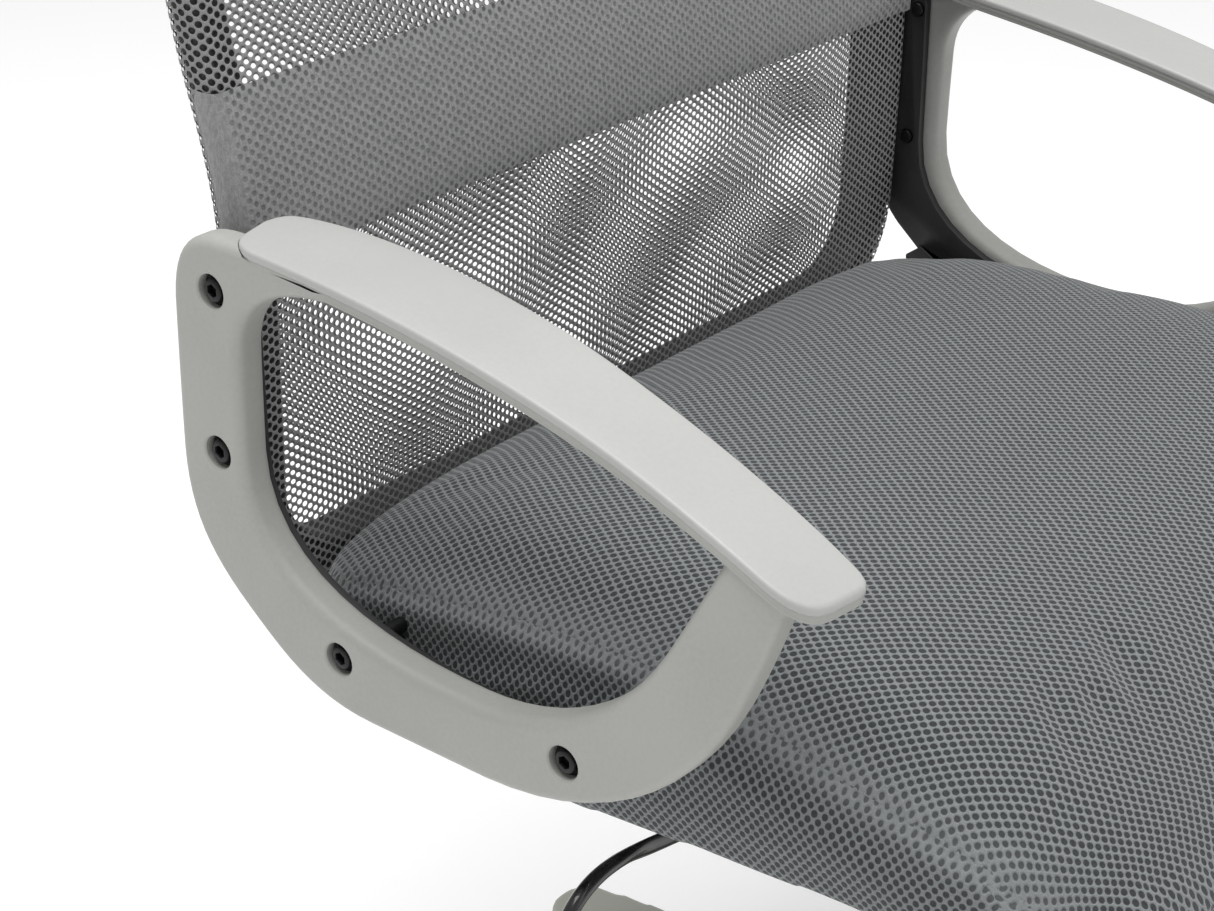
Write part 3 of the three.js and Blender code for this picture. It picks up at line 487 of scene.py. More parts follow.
def seat_look():
    """Spacer mesh: staggered round holes in a soft knitted net; the holes are painted near black as painted
    shade inside them.
    """
    look = Look("seat_fabric", 0.85, Sheen_Weight=0.25, Sheen_Roughness=0.5)
    at = look.weave()
    shifted = look.jittered(at, 320.0, 0.0004)
    seam = look.mask("seam")
    pulled = look.vector("SCALE", look.centred_noise(at, 150.0, 3.0))
    look.feed(pulled.node.inputs["Scale"], look.math("MULTIPLY", seam, 0.0022))
    lattice = look.vector("ADD", shifted, pulled)
    distance = look.hole_distance(SEAT_PITCH, lattice, (1.0, 0.95))
    radius = look.math("MULTIPLY_ADD", seam, -0.00045, 0.00142)
    from_edge = look.math("SUBTRACT", distance, radius)
    hole = look.span(from_edge, -0.00022, 0.00022, 1.0, 0.0)
    hole = look.math("MULTIPLY", hole, look.math("MULTIPLY_ADD", seam, -0.35, 1.0))
    fibre = look.noise(2600, 3, 0.7)
    thread = look.blend(fibre, (0.135, 0.147, 0.152), (0.255, 0.272, 0.279))
    thread = look.mix(look.span(look.noise(5, 2), 0.3, 0.7, 0.0, 0.25), thread, (0.16, 0.168, 0.172))
    thread = look.mix(look.math("MULTIPLY", seam, 0.3), thread, (0.24, 0.246, 0.244))
    # painted shade: the holes are only a bump, so their dark colour stands in for the shade inside them
    hole_shade = look.blend(look.noise(900, 2), (0.012, 0.014, 0.016), (0.028, 0.032, 0.035))
    look.set(Base_Color=look.mix(hole, thread, hole_shade))
    ridge = look.span(from_edge, -0.0004, 0.0007)
    height = look.math("MULTIPLY_ADD", fibre, 0.25, ridge)
    look.bump(height, 0.0007, 0.8)
    return look.material


def net_look(name, twist):
    """See-through knitted net: the holes are transparent. twist shears the lattice a little."""
    look = Look(name, 0.8, Sheen_Weight=0.15, Sheen_Roughness=0.5)
    at = look.weave()
    moved = look.jittered(at, 260.0, 0.0003, look.jittered(at, 2.4, twist))
    distance = look.hole_distance(NET_PITCH, moved, (0.92, 1.0))
    from_edge = look.math("SUBTRACT", distance, NET_HOLE)
    fibre = look.noise(2800, 3, 0.7)
    look.set(Base_Color=look.blend(fibre, (0.165, 0.167, 0.165), (0.297, 0.3, 0.296)),
             Alpha=look.span(from_edge, -0.00012, 0.00012))
    look.bump(look.math("MULTIPLY_ADD", fibre, 0.3, look.span(from_edge, -0.0003, 0.0006)), 0.0005, 0.8)
    return look.material


def felt_look():
    """The lumbar band: a dense felted knit whose lattice shows faintly as small diagonal dimples, painted
    dark as painted shade, more so along the top and bottom rows where the band tucks in.
    """
    look = Look("band_felt", 0.9, Sheen_Weight=0.3, Sheen_Roughness=0.5)
    at = look.weave()
    moved = look.jittered(at, 300.0, 0.0003)
    side = look.mask("side")
    distance = look.hole_distance(NET_PITCH, moved, (0.95, 1.0))
    dimple = look.span(distance, 0.0007, 0.0017, 1.0, 0.0)
    dimple = look.math("MULTIPLY", dimple, look.math("SUBTRACT", 1.0, side))
    fibre = look.noise(2300, 4, 0.75)
    streak = look.noise(700, 3, 0.7, stretch=(1, 1, 0.35))
    grain = look.math("ADD", look.math("MULTIPLY", fibre, 0.55), look.math("MULTIPLY", streak, 0.45))
    thread = look.blend(grain, (0.165, 0.170, 0.167), (0.30, 0.305, 0.30), 0.36, 0.64)
    tuck_shade = look.mask("tuck_shade")
    # painted shade in the dimples, stronger on the band's top and bottom rows where it tucks in
    depth = look.math("MULTIPLY", dimple, look.math("MULTIPLY_ADD", tuck_shade, 0.45, 0.55))
    look.set(Base_Color=look.mix(depth, thread, (0.04, 0.043, 0.043)))
    height = look.math("SUBTRACT", look.math("MULTIPLY", grain, 0.5), dimple)
    look.bump(height, 0.0006, 0.8)
    return look.material


SEAT_PITCH = (0.00476, 0.0058)     # across the seat and from back to front
NET_PITCH = (0.00675, 0.0049)     # across the back and upwards
NET_HOLE = 0.00146                # radius of the net's holes
seat_fabric_look = seat_look()
net_front_look = net_look("back_mesh_front", 0.004)
net_rear_look = net_look("back_mesh_rear", 0.016)
band_look = felt_look()


def finish(obj, look, body, *nodes, slot=None):
    """Gives a piece its material and body, and hides the CAD nodes it stands for; the slot argument is not
    used.
    """
    obj.data.materials.clear()
    obj.data.materials.append(look)
    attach(obj, body)
    slot or look.name.split(".")[0]
    if nodes:
        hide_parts(*nodes)
    return obj


def set_uv(obj, uv_of):
    """The weave map in metres: uv_of(face centre, vertex) gives (u, v)."""
    mesh = obj.data
    layer = mesh.uv_layers.new(name="weave")
    coords = [v.co.copy() for v in mesh.vertices]
    flat = np.zeros(len(mesh.loops) * 2, np.float32)
    for face in mesh.polygons:
        for k in face.loop_indices:
            index = mesh.loops[k].vertex_index
            flat[2 * k:2 * k + 2] = uv_of(face, index, coords[index])
    layer.data.foreach_set("uv", flat)


def set_mask(obj, name, values):
    attribute = obj.data.attributes.new(name, "FLOAT", "POINT")
    attribute.data.foreach_set("value", np.array(values, np.float32))


# ---------------------------------------------------------------- arms, right side
PAD_CURVE = path((-2, 184.8), ((-112, 182), (-232, 160), (-326, 111)), samples=60)
PAD_LINE = sorted((p[0], p[1]) for p in PAD_CURVE)
CAP_DEPTH = 4.6
GROOVE = 0.45
LIP_DEPTH = 8.0
ARM_BOLTS = ((-3, 158), (0, 80), (-70, 0), (-200, 0))
RECESS_RADIUS = 8.0
RECESS_DEPTH = 6.0
BOSS_END = 262.0


def pad_height(y):
    return along(PAD_LINE, y)


def arm_outline():
    return path(
        (-125, 181), ((-9, 183),), ((9, 183), (21, 176), (23, 150)), ((24.5, 110), (25, 76)),
        ((25, 43), (13, 24), (-12, 4)), ((-31, -11), (-50, -28), (-88, -28)), ((-155, -28),),
        ((-215, -27), (-262, 5), (-286, 56)), ((-299, 84), (-311, 122)), ((-316, 134),),
        ((-300, 150), (-286, 136)), ((-270, 104), (-250, 69)), ((-228, 32), (-190, 8), (-145, 8)),
        ((-85, 8), (-16, 22), (-15.5, 80)), ((-16, 110), (-17, 132)), ((-19, 163), (-60, 168.5)),
        ((-95, 172.5), (-125, 171)))


def pad_plan(inset):
    """The pad's plan as two chains of (x, y) from the front tip to the rear, outer side first."""
    outer = path((-266, -321.4), ((-274, -320.8),), ((-290.6, -319.4), (-290.8, -300)),
                 ((-290.6, -260), (-288.6, -240), (-288.6, -200)), ((-288.6, -34),),
                 ((-288.6, -18), (-276, -14)), ((-262, -10.4),))
    inner = path((-266, -321.4), ((-257, -322),), ((-250.6, -322.4), (-249.8, -315)), ((-248.5, -300),),
                 ((-246, -262), (-243.5, -225), (-240, -190)),
                 ((-236.5, -155), (-234, -100), (-237.5, -60)),
                 ((-239.5, -40), (-243, -24), (-247, -16)), ((-251, -9.5), (-262, -10.4)))
    rows = 90
    sides = [resample(chain, rows) for chain in (outer, inner)]
    loop = sides[0] + sides[1][-2:0:-1]
    moved = []
    for i, p in enumerate(loop):
        ahead = loop[(i + 1) % len(loop)] - loop[i - 1]
        moved.append(p + Vector((-ahead.y, ahead.x)).normalized() * -inset)
    first = moved[:rows]
    second = [moved[0], *reversed(moved[rows:]), moved[rows - 1]]
    return first, second


def bevel_steps(radius, top, bottom, steps=4):
    """(inset, depth) pairs of a rounded edge from a top face to a bottom face."""
    turn = [(radius * (1 - math.sin(a)), radius * (1 - math.cos(a)))
            for a in (math.pi / 2 * k / steps for k in range(steps + 1))]
    return [(x, top + y) for x, y in turn] + [(x, bottom - y) for x, y in reversed(turn)]


def pad_slab(name, inset, top, bottom, radius, across=6):
    """A slab under the pad's curve with rounded edges."""
    verts, faces, rings = [], [], []
    rows = bevel_steps(radius, top, bottom)
    for ring_inset, depth in rows:
        outer, inner = pad_plan(inset + ring_inset)
        loop = outer + inner[-2:0:-1]
        rings.append((len(verts), depth, outer, inner))
        verts += [(p.x, p.y, pad_height(p.y) - depth) for p in loop]
    size = len(verts) // len(rows)
    faces += ring_faces(len(rows), size)
    for start, depth, outer, inner in (rings[0], rings[-1]):
        count = len(outer)
        grid = []
        for k in range(count):
            row = [start + k] * (across + 1)
            if 0 < k < count - 1:
                row[-1] = start + size - k
                for j in range(1, across):
                    p = outer[k].lerp(inner[k], j / across)
                    row[j] = len(verts)
                    verts.append((p.x, p.y, pad_height(p.y) - depth))
            grid.append(row)
        faces += [tuple(dict.fromkeys((a[j], a[j + 1], b[j + 1], b[j])))
                  for a, b in zip(grid, grid[1:]) for j in range(across)]
    return shade(clean(mesh_object(name, verts, faces, SEAT_FRAME)), 40)


def pad_room():
    """The space over the groove that the shell leaves for the pad."""
    outer, inner = pad_plan(-0.3)
    plan = outline_solid("plan", outer + inner[-2:0:-1], 60, 260, 0, SEAT_FRAME)
    under = CAP_DEPTH + GROOVE
    upper = [(y, z + 60) for y, z in PAD_LINE]
    lower = [(y, z - under) for y, z in reversed(PAD_LINE)]
    band = outline_solid("band", upper + lower, -330, -180, 0, SEAT_FRAME @ SIDE_PLANE)
    return boolean(band, "INTERSECT", plan)


def right_arm():
    shell = outline_solid("right_arm_loop", arm_outline(), -FACE, SHELL_THICK - FACE, 5.6,
                          SEAT_FRAME @ SIDE_PLANE, 5)
    tools = [pad_room()]
    for y, z in ARM_BOLTS:
        place = along_x(SEAT_FRAME, y, z)
        depth = RECESS_DEPTH - FACE
        profile = [(0, -320), (RECESS_RADIUS + 0.9, -320), (RECESS_RADIUS + 0.9, -FACE),
                   (RECESS_RADIUS + 0.35, 0.35 - FACE), (RECESS_RADIUS, 0.9 - FACE),
                   (RECESS_RADIUS, depth), (4.3, depth), (4.3, -240), (0, -240)]
        tools.append(revolve("recess", profile, place, 40))
    boolean(shell, "DIFFERENCE", *tools)
    return shade(clean(shell), 32)


def arm_bolt(name, y, z):
    """Button head with a wide flange and a hex socket, head outwards."""
    under = -FACE + RECESS_DEPTH - 0.3
    tip = -262.6 if z > 40 else -240
    place = along_x(SEAT_FRAME, y, z)
    side = [(0, tip), (3.6, tip), (3.9, tip - 0.8), (3.9, under), (7.4, under), (7.6, under - 0.3),
            (7.5, under - 1.2), (5.7, under - 1.7), (5.4, under - 3.6), (5.0, under - 4.2),
            (3.6, under - 4.5), (0, under - 4.5)]
    head = revolve(name, fillet(side, 0.4, 3), place, 40)
    socket = revolve("socket", [(0, under - 1.4), (3.0, under - 1.4), (3.0, under - 4.0),
                                (3.5, under - 4.8), (0, under - 4.8)], place, 6)
    boolean(head, "DIFFERENCE", socket)
    return shade(head, 35)


def shortened_boss(bracket):
    """Ends the third bolt's boss near the plate, so that the cover's side is clear of it."""
    bolt = seat_point(0, *ARM_BOLTS[2])
    for v in bracket.data.vertices:
        if math.hypot(v.co.y - bolt.y, v.co.z - bolt.z) < 6.6 * MM and abs(v.co.x) < BOSS_END * MM:
            v.co.x = math.copysign(BOSS_END * MM, v.co.x)
    return bracket


def build_arms():
    shell = right_arm()
    cap = pad_slab("right_pad_cap", 0, 0, CAP_DEPTH, 1.7)
    core = pad_slab("pad_core", 0.6, 2.5, LIP_DEPTH - 1.5, 0.4)
    lip = pad_slab("pad_lip", 0.9, CAP_DEPTH + GROOVE, LIP_DEPTH + 0.6, 0.9)
    lip = shade(merge("right_pad_lip", core, lip), 40)
    pieces = [(shell, "arm_loop", arm_look, ["arm_shell"]), (cap, "pad_cap", pad_look, ["arm_pad"]),
              (lip, "pad_lip", arm_look, [])]
    for i, (y, z) in enumerate(ARM_BOLTS, 1):
        pieces.append((arm_bolt(f"right_bolt_{i}", y, z), f"bolt_{i}", bolt_look, [f"arm_bolt_{i}"]))
    for piece, name, look, nodes in pieces:
        for side, half in (("right", piece), ("left", twin(piece, f"left_{name}", MIRROR))):
            finish(half, look, "seat", *[f"{side}_{node}" for node in nodes])
    for side in ("right", "left"):
        bracket = shortened_boss(refined(f"{side}_arm_bracket", 0.7))
        finish(bracket, black_look, "seat", f"{side}_arm_bracket")


# ---------------------------------------------------------------- back
BACK_HALF = 263.0
BACK_BOTTOM = -20.0
BACK_TOP = 700.0
CORNER = 64.0
FRAME_DEPTH = 28.0
FRAME_RIM = 21.0
NET_OFFSET = 15.6                  # front net layer from the frame's middle surface
REAR_OFFSET = 13.5                 # rear net layer
REAR_RIM = 17.0                    # the frame's side is chamfered this far towards the rear
BAND_BOTTOM = 158.0
BAND_TOP = 236.0
UPRIGHT_SHARE = 1.012              # length along the leaning back over height


def back_centre(z):
    lean = smoothstep(z, 130, 260)
    foot = 2 + 2 * math.cos(math.pi * clamp((z + 20) / 180, 0, 1))
    ease = clamp(z - 430, 0, 400)
    return 17 + foot + 0.2 * max(z - 160, 0) * lean - 0.0003 * ease * ease


def half_width(z, inset):
    radius = CORNER - inset
    low, high = BACK_BOTTOM + inset, BACK_TOP - inset
    side = BACK_HALF - inset - 34 * smoothstep(z, 300, 760)
    drop_in = max(clamp(low + radius - z, 0, radius), clamp(z - (high - radius), 0, radius))
    return side - radius + math.sqrt(max(radius * radius - drop_in * drop_in, 0))


def back_levels(inset, corner_steps=12, rows=60):
    radius = CORNER - inset
    low, high = BACK_BOTTOM + inset, BACK_TOP - inset
    arc = [math.pi / 2 * i / corner_steps for i in range(corner_steps + 1)]
    levels = [low + radius * (1 - math.cos(a)) for a in arc]
    levels += [low + radius + (high - low - 2 * radius) * i / rows for i in range(1, rows)]
    return levels + [high - radius + radius * math.sin(a) for a in arc]


def back_outline(inset):
    """(x, z) points round the back, up the sitter's left side and down the right."""
    levels = back_levels(inset)
    right = [Vector((half_width(z, inset), z)) for z in levels]
    left = [Vector((-p.x, p.y)) for p in reversed(right)]
    top, foot = ([ends[-1].lerp(Vector((-ends[-1].x, ends[-1].y)), t / 24) for t in range(1, 24)]
                 for ends in (right, left))
    return right + top + left + foot


def frame_loop():
    """The frame's bar: a rounded section that follows the outline and the lean."""
    deep = FRAME_DEPTH / 2
    corners = [(0.6, -1.5), (0.8, 5.5 - deep), (2.8, 2.2 - deep), (6.8, 0.3 - deep),
               (FRAME_RIM, 0.3 - deep), (FRAME_RIM, deep - 2), (REAR_RIM, deep - 2)]
    section = fillet(corners, 3, 3, closed=True)
    loops = [back_outline(inset) for inset, _ in section]
    count = len(loops[0])
    verts = []
    for i in range(count):
        for loop, (_, offset) in zip(loops, section):
            x, z = loop[i]
            verts.append((x, back_centre(z) + offset, z))
    faces = ring_faces(count, len(section), around=True)
    return shade(clean(mesh_object("back_frame_loop", verts, faces, SEAT_FRAME)), 60)


def net_sheet(name, side, columns=56):
    """One layer of the sleeve: side -1 is the front. Its rim wraps half way round the frame."""
    rim = 9.0 if side < 0 else REAR_RIM
    offset_of = NET_OFFSET if side < 0 else REAR_OFFSET
    bend = (0.9, 0.55) if side < 0 else (1.7, 1.7)
    reach = 0.4                     # the sleeve stands this far off the frame's side
    width = columns + 1
    across = [2 * i / columns - 1 for i in range(width)]
    verts = [(half_width(z, rim) * share, z) for z in back_levels(rim) for share in across]
    uvs = [(x, z * UPRIGHT_SHARE) for x, z in verts]
    grid = [list(range(start, start + width)) for start in range(0, len(verts), width)]
    faces = ring_faces(len(grid), width, closed=False)
    loop = grid[0] + [row[-1] for row in grid[1:-1]] + grid[-1][::-1] + [row[0] for row in grid[-2:0:-1]]
    normals = []
    for i, index in enumerate(loop):
        ahead = Vector(verts[loop[(i + 1) % len(loop)]]) - Vector(verts[loop[i - 1]])
        normals.append(Vector((ahead.y, -ahead.x)).normalized())
    points = []
    for x, z in verts:
        swell = 0.9 * noise.noise(Vector((x / 170, z / 150, 3.0 * side)))
        swell *= smoothstep(BACK_HALF - abs(x), 20, 90)
        points.append([x, side * (offset_of + swell), z])
    steps = 9
    turn = [((rim + reach) * math.sin(a) ** bend[0], offset_of * max(math.cos(a), 0.0) ** bend[1])
            for a in (math.pi / 2 * k / 60 for k in range(61))]
    length = sum((Vector(b) - Vector(a)).length for a, b in zip(turn, turn[1:]))
    turn = resample(turn, steps + 1)
    previous = loop
    for k in range(1, steps + 1):
        out, back = turn[k]
        arc = length * k / steps
        ring = []
        for index, n in zip(loop, normals):
            x, z = verts[index]
            ring.append(len(points))
            points.append([x + n.x * out, side * back, z + n.y * out])
            uvs.append((uvs[index][0] + n.x * arc, uvs[index][1] + n.y * arc))
        faces += [(previous[i - 1], previous[i], ring[i], ring[i - 1]) for i in range(len(loop))]
        previous = ring
    lean = [(x, back_centre(z) + offset, z) for x, offset, z in points]
    obj = mesh_object(name, lean, faces, SEAT_FRAME)
    clean(obj, 0)
    set_uv(obj, lambda face, index, co: (uvs[index][0] * MM, uvs[index][1] * MM))
    return shade(obj, 80)


def lumbar_band():
    """An opaque band over the front layer that wraps round both sides of the frame."""
    rows, columns = 12, 60
    inner = BACK_HALF - 9
    cover = 1.3
    wrap = 16
    front = -(NET_OFFSET + cover)
    stations = [(x, front, x, 0.0) for x in (inner * (2 * i / columns - 1) for i in range(columns + 1))]
    turn = fillet([(inner, front), (BACK_HALF + cover, front), (BACK_HALF + cover, -1.0),
                   (BACK_HALF + 0.6 - REAR_RIM, 13.4)], 7)
    for k, spot in enumerate(resample(turn, wrap + 1)[1:], 1):
        arc = inner + 40.0 * k / wrap
        stations.append((spot.x, spot.y, arc, min(1.0, k / 3)))
        stations.insert(0, (-spot.x, spot.y, -arc, min(1.0, k / 3)))
    verts, uvs, sides = [], [], []
    for j in range(rows + 1):
        t = j / rows
        z = BAND_BOTTOM + (BAND_TOP - BAND_BOTTOM) * t
        tuck = 0.9 * (1 - smoothstep(min(t, 1 - t), 0.0, 0.06))
        for x, y, u, side in stations:
            pinch = 1 - tuck / BACK_HALF
            swell = 0.5 * noise.noise(Vector((x / 120, z / 60, 7.0)))
            verts.append((x * pinch, back_centre(z) + y + (tuck - swell if side == 0 else 0), z))
            uvs.append((u, z * UPRIGHT_SHARE))
            sides.append(side)
    size = len(stations)
    obj = mesh_object("lumbar_band_cloth", verts, ring_faces(rows + 1, size, closed=False), SEAT_FRAME)
    clean(obj, 0)
    set_uv(obj, lambda face, index, co: (uvs[index][0] * MM, uvs[index][1] * MM))
    set_mask(obj, "side", sides)
    # marks the band's top and bottom rows for stronger painted shade in the dimples
    set_mask(obj, "tuck_shade", [1.0 if j in (0, rows) else 0.0 for j in range(rows + 1) for _ in stations])
    return shade(obj, 80)


def build_back():
    finish(frame_loop(), black_look, "seat", "back_frame")
    for name, side, look in (("back_mesh_front", -1, net_front_look), ("back_mesh_rear", 1, net_rear_look)):
        cloth = finish(net_sheet(name + "_net", side), look, "seat", name, slot="back_mesh")
    band = finish(lumbar_band(), band_look, "seat", "lumbar_band")


# ---------------------------------------------------------------- seat cushion
SEAT_HALF = 250.0
SEAT_REAR = -3.0
SEAT_FRONT = -440.0
SEAT_CORNER = 60.0
PAN_HALF = 244.5                   # the pan's upstands stay behind the cover
CROWN_FALL = 7.0                   # how late the crown falls towards the sides
CROWN = ((-440, -32), (-432, -18), (-425, -8), (-412, 5), (-395, 16), (-375, 26.5), (-350, 36), (-320, 43),
         (-290, 48), (-222, 53.5), (-150, 54), (-80, 49), (-30, 37), (-12, 27), (-3, 17))
SEAM = ((-440, -40), (-410, -36), (-400, -26), (-394, -18), (-386, -9), (-374, -1), (-345, 7), (-310, 13),
        (-260, 24), (-225, 28.5), (-180, 27.5), (-120, 22), (-60, 13), (-3, 1))
SKIRT = ((-440, -38), (-321, -41), (-239, -48), (-176, -54), (-60, -58), (-3, -58))


def cushion_outline(count=220):
    """Plan of the seat, corners rounded, from the middle of the rear edge round to it again."""
    half, r = SEAT_HALF, SEAT_CORNER
    rear, front = SEAT_REAR, SEAT_FRONT
    half_path = path(
        (0, rear), ((half - 0.4 * r, rear - 1),),
        ((half - 3, rear - 1.5), (half, rear - 4), (half, rear - 0.4 * r)),
        ((half + 0.5, -200), (half, front + 1.5 * r)),
        ((half - 2, front + 0.45 * r), (half - 0.55 * r, front + 4), (half - 1.5 * r, front + 1.5)),
        ((half - 2.4 * r, front), (0, front)))
    points = resample(half_path, count // 2 + 1)
    return points + [Vector((-p.x, p.y)) for p in points[-2:0:-1]]


def cushion_shell(shrink):
    """The seat's closed target shape, drawn in by shrink."""
    outline = cushion_outline()
    centre = Vector((0, (SEAT_REAR + SEAT_FRONT) / 2))
    verts = []
    shares = [0.06] + [i / 16 for i in range(1, 14)] + [0.85, 0.89, 0.925, 0.955, 0.98, 0.993]
    for share in shares:
        for point in outline:
            p = centre + (point - centre) * share
            edge, crown = along(SEAM, p.y), along(CROWN, p.y)
            u = min(abs(p.x) / half_at(p.y), 1.0)
            verts.append((p.x, p.y, edge + (crown - edge) * (1 - u ** CROWN_FALL) - shrink))
    for drop_share, out in ((0.0, -0.5), (0.12, 0.4), (0.35, 1.0), (0.65, 1.2), (0.9, 1.0), (0.97, 0.4),
                            (1.0, -1.0)):
        for p in outline:
            top, low = along(SEAM, p.y), along(SKIRT, p.y)
            n = (p - centre).normalized()
            verts.append((p.x + n.x * (out - shrink), p.y + n.y * (out - shrink),
                          top + (low - top) * drop_share + shrink * (drop_share - 0.5)))
    for inset, lift in ((5, -1.5), (14, -1.5), (26, -0.5), (40, 6.0)):
        for p in outline:
            n = (p - centre).normalized()
            verts.append((p.x - n.x * inset, p.y - n.y * inset, along(SKIRT, p.y) + lift))
    faces = capped_faces(len(verts) // len(outline), len(outline))
    return clean(mesh_object("cushion_start", verts, faces, SEAT_FRAME))


HALF_TABLE = sorted((p.y, p.x) for p in cushion_outline() if p.x > 150)


def half_at(y):
    return along(HALF_TABLE, y)


SEAM_LINE = np.array([list(p) for p in resample([Vector(p) for p in SEAM], 240)])


def seam_distance(y, z):
    """Distance in mm to the seam in the side view."""
    return float(np.linalg.norm(SEAM_LINE - np.array((y, z)), axis=1).min())


def seat_mm(co):
    """A world position in the seat frame's millimetres."""
    return co[0] / MM, co[1] / MM - SEAT_Y, co[2] / MM - SEAT_Z


def inflate(obj, limit):
    """Swells the seat by cloth pressure; the skirt stays put and no point moves past the limit."""
    start = np.array([v.co for v in obj.data.vertices])
    pinned = obj.vertex_groups.new(name="pinned")
    for index, co in enumerate(start):
        _, y, z = seat_mm(co)
        weight = 1 - smoothstep(z - along(SKIRT, y), 4, 16)
        if weight > 0:
            pinned.add([index], weight, "REPLACE")
    cloth = obj.modifiers.new("cloth", "CLOTH")
    settings = cloth.settings
    settings.quality = 5
    settings.mass = 0.3
    settings.tension_stiffness = 20
    settings.compression_stiffness = 20
    settings.shear_stiffness = 10
    settings.bending_stiffness = 8
    settings.use_pressure = True
    settings.uniform_pressure_force = 7
    settings.vertex_group_mass = "pinned"
    settings.effector_weights.gravity = 0
    cloth.collision_settings.use_collision = False
    cloth.point_cache.frame_start = 1
    cloth.point_cache.frame_end = 20
    for step in range(1, 21):
        scene.frame_set(step)
    moved = evaluated(obj)
    end = np.array([v.co for v in moved.vertices])
    bpy.data.meshes.remove(moved)
    obj.modifiers.clear()
    scene.frame_set(1)
    travel = end - start
    length = np.linalg.norm(travel, axis=1, keepdims=True)
    travel *= np.minimum(1, limit * MM / np.maximum(length, 1e-9))
    obj.data.vertices.foreach_set("co", (start + travel).astype(np.float32).ravel())
    obj.data.update()


def seat_cushion():
    swell = 1.2
    obj = remeshed(cushion_shell(swell), 5, 3)
    inflate(obj, swell + 1.0)
    fine = obj.modifiers.new("fine", "SUBSURF")
    fine.levels = fine.render_levels = 1
    bake_modifiers(obj)
    obj.name = "seat_cushion_cover"
    press_seam(obj)
    return shade(obj, 180)


def is_side(point):
    """True on the seat's side panel, which lies under the seam all round but for the front."""
    x, y, z = point
    return z < along(SEAM, y) and y > -404 and (abs(x) > 175 or y > -40)


def press_seam(obj):
    """Draws the cover in along its seam and marks the pressed strip beside it."""
    mesh = obj.data
    local = np.array([v.co for v in mesh.vertices]) / MM - np.array((0, SEAT_Y, SEAT_Z))
    normals = np.array([v.normal for v in mesh.vertices])
    marks = []
    out = local.copy()
    for i, (x, y, z) in enumerate(local):
        near_side = smoothstep(abs(x), 150, 185) if y < -30 else 1.0
        d = seam_distance(y, z) if y < -20 else abs(z - along(SEAM, y))
        pressed = math.exp(-(d / 4.5) ** 2) * near_side
        strip = math.exp(-(d / 8.0) ** 2) * near_side
        ripple = 0.5 + 0.5 * noise.noise(Vector((y / 9, z / 9, x / 60)))
        out[i] = local[i] - normals[i] * (2.2 * pressed + 0.6 * strip * ripple)
        out[i] += normals[i] * 0.6 * noise.noise(Vector((x / 70, y / 70, z / 50)))
        marks.append(strip * (0.65 + 0.35 * ripple))
    world = (out + np.array((0, SEAT_Y, SEAT_Z))) * MM
    mesh.vertices.foreach_set("co", world.astype(np.float32).ravel())
    mesh.update()
    set_mask(obj, "seam", marks)
    kinds = {}

    def uv_of(face, index, co):
        if face.index not in kinds:
            kinds[face.index] = panel_of(seat_mm(face.center), face.normal)
        x, y, z = seat_mm(co)
        if kinds[face.index] != "top":
            return (y if kinds[face.index] == "side" else x) * MM, (z + 1.3) * MM
        u, v = top_map(x, y, z)
        return (u + 0.17 * v) * MM, (v + 0.06 * u) * MM

    set_uv(obj, uv_of)


def panel_of(point, normal):
    if not is_side(point):
        return "top"
    return "side" if abs(normal.x) >= abs(normal.y) else "rear"


def top_map(x, y, z):
    """Weave position on the top panel: across, and along the profile over the front roll."""
    share = min(abs(x) / half_at(y), 1.0) ** CROWN_FALL
    edge, crown = along(SEAM, y), along(CROWN, y)
    level = crown + (edge - crown) * share
    length = along(CROWN_LENGTH, y) * (1 - share) + along(SEAM_LENGTH, y) * share
    below = max(level - z, 0.0) * smoothstep(-y, 395, 425)
    across = x + math.copysign(0.4 * max(crown - max(z, level), 0.0), x)
    return across, length - below


def lengths(table):
    """(y, length along the profile) rows of a side-view table, zero at its rear end."""
    rows, total = [(table[-1][0], 0.0)], 0.0
    for (y0, z0), (y1, z1) in zip(reversed(table[1:]), reversed(table[:-1])):
        total -= math.hypot(y1 - y0, z1 - z0)
        rows.append((y1, total))
    return sorted(rows)


CROWN_LENGTH = lengths(CROWN)
SEAM_LENGTH = lengths(SEAM)


def build_seat():
    cushion = finish(seat_cushion(), seat_fabric_look, "seat", "seat_cushion")
    pan = refined("seat_pan", 0.8)
    for v in pan.data.vertices:
        v.co.x = clamp(v.co.x, -PAN_HALF * MM, PAN_HALF * MM)
    # black plastic pan; its black also stands in for the shade in the gap between the arms and the cushion
    finish(pan, black_look, "seat", "seat_pan")


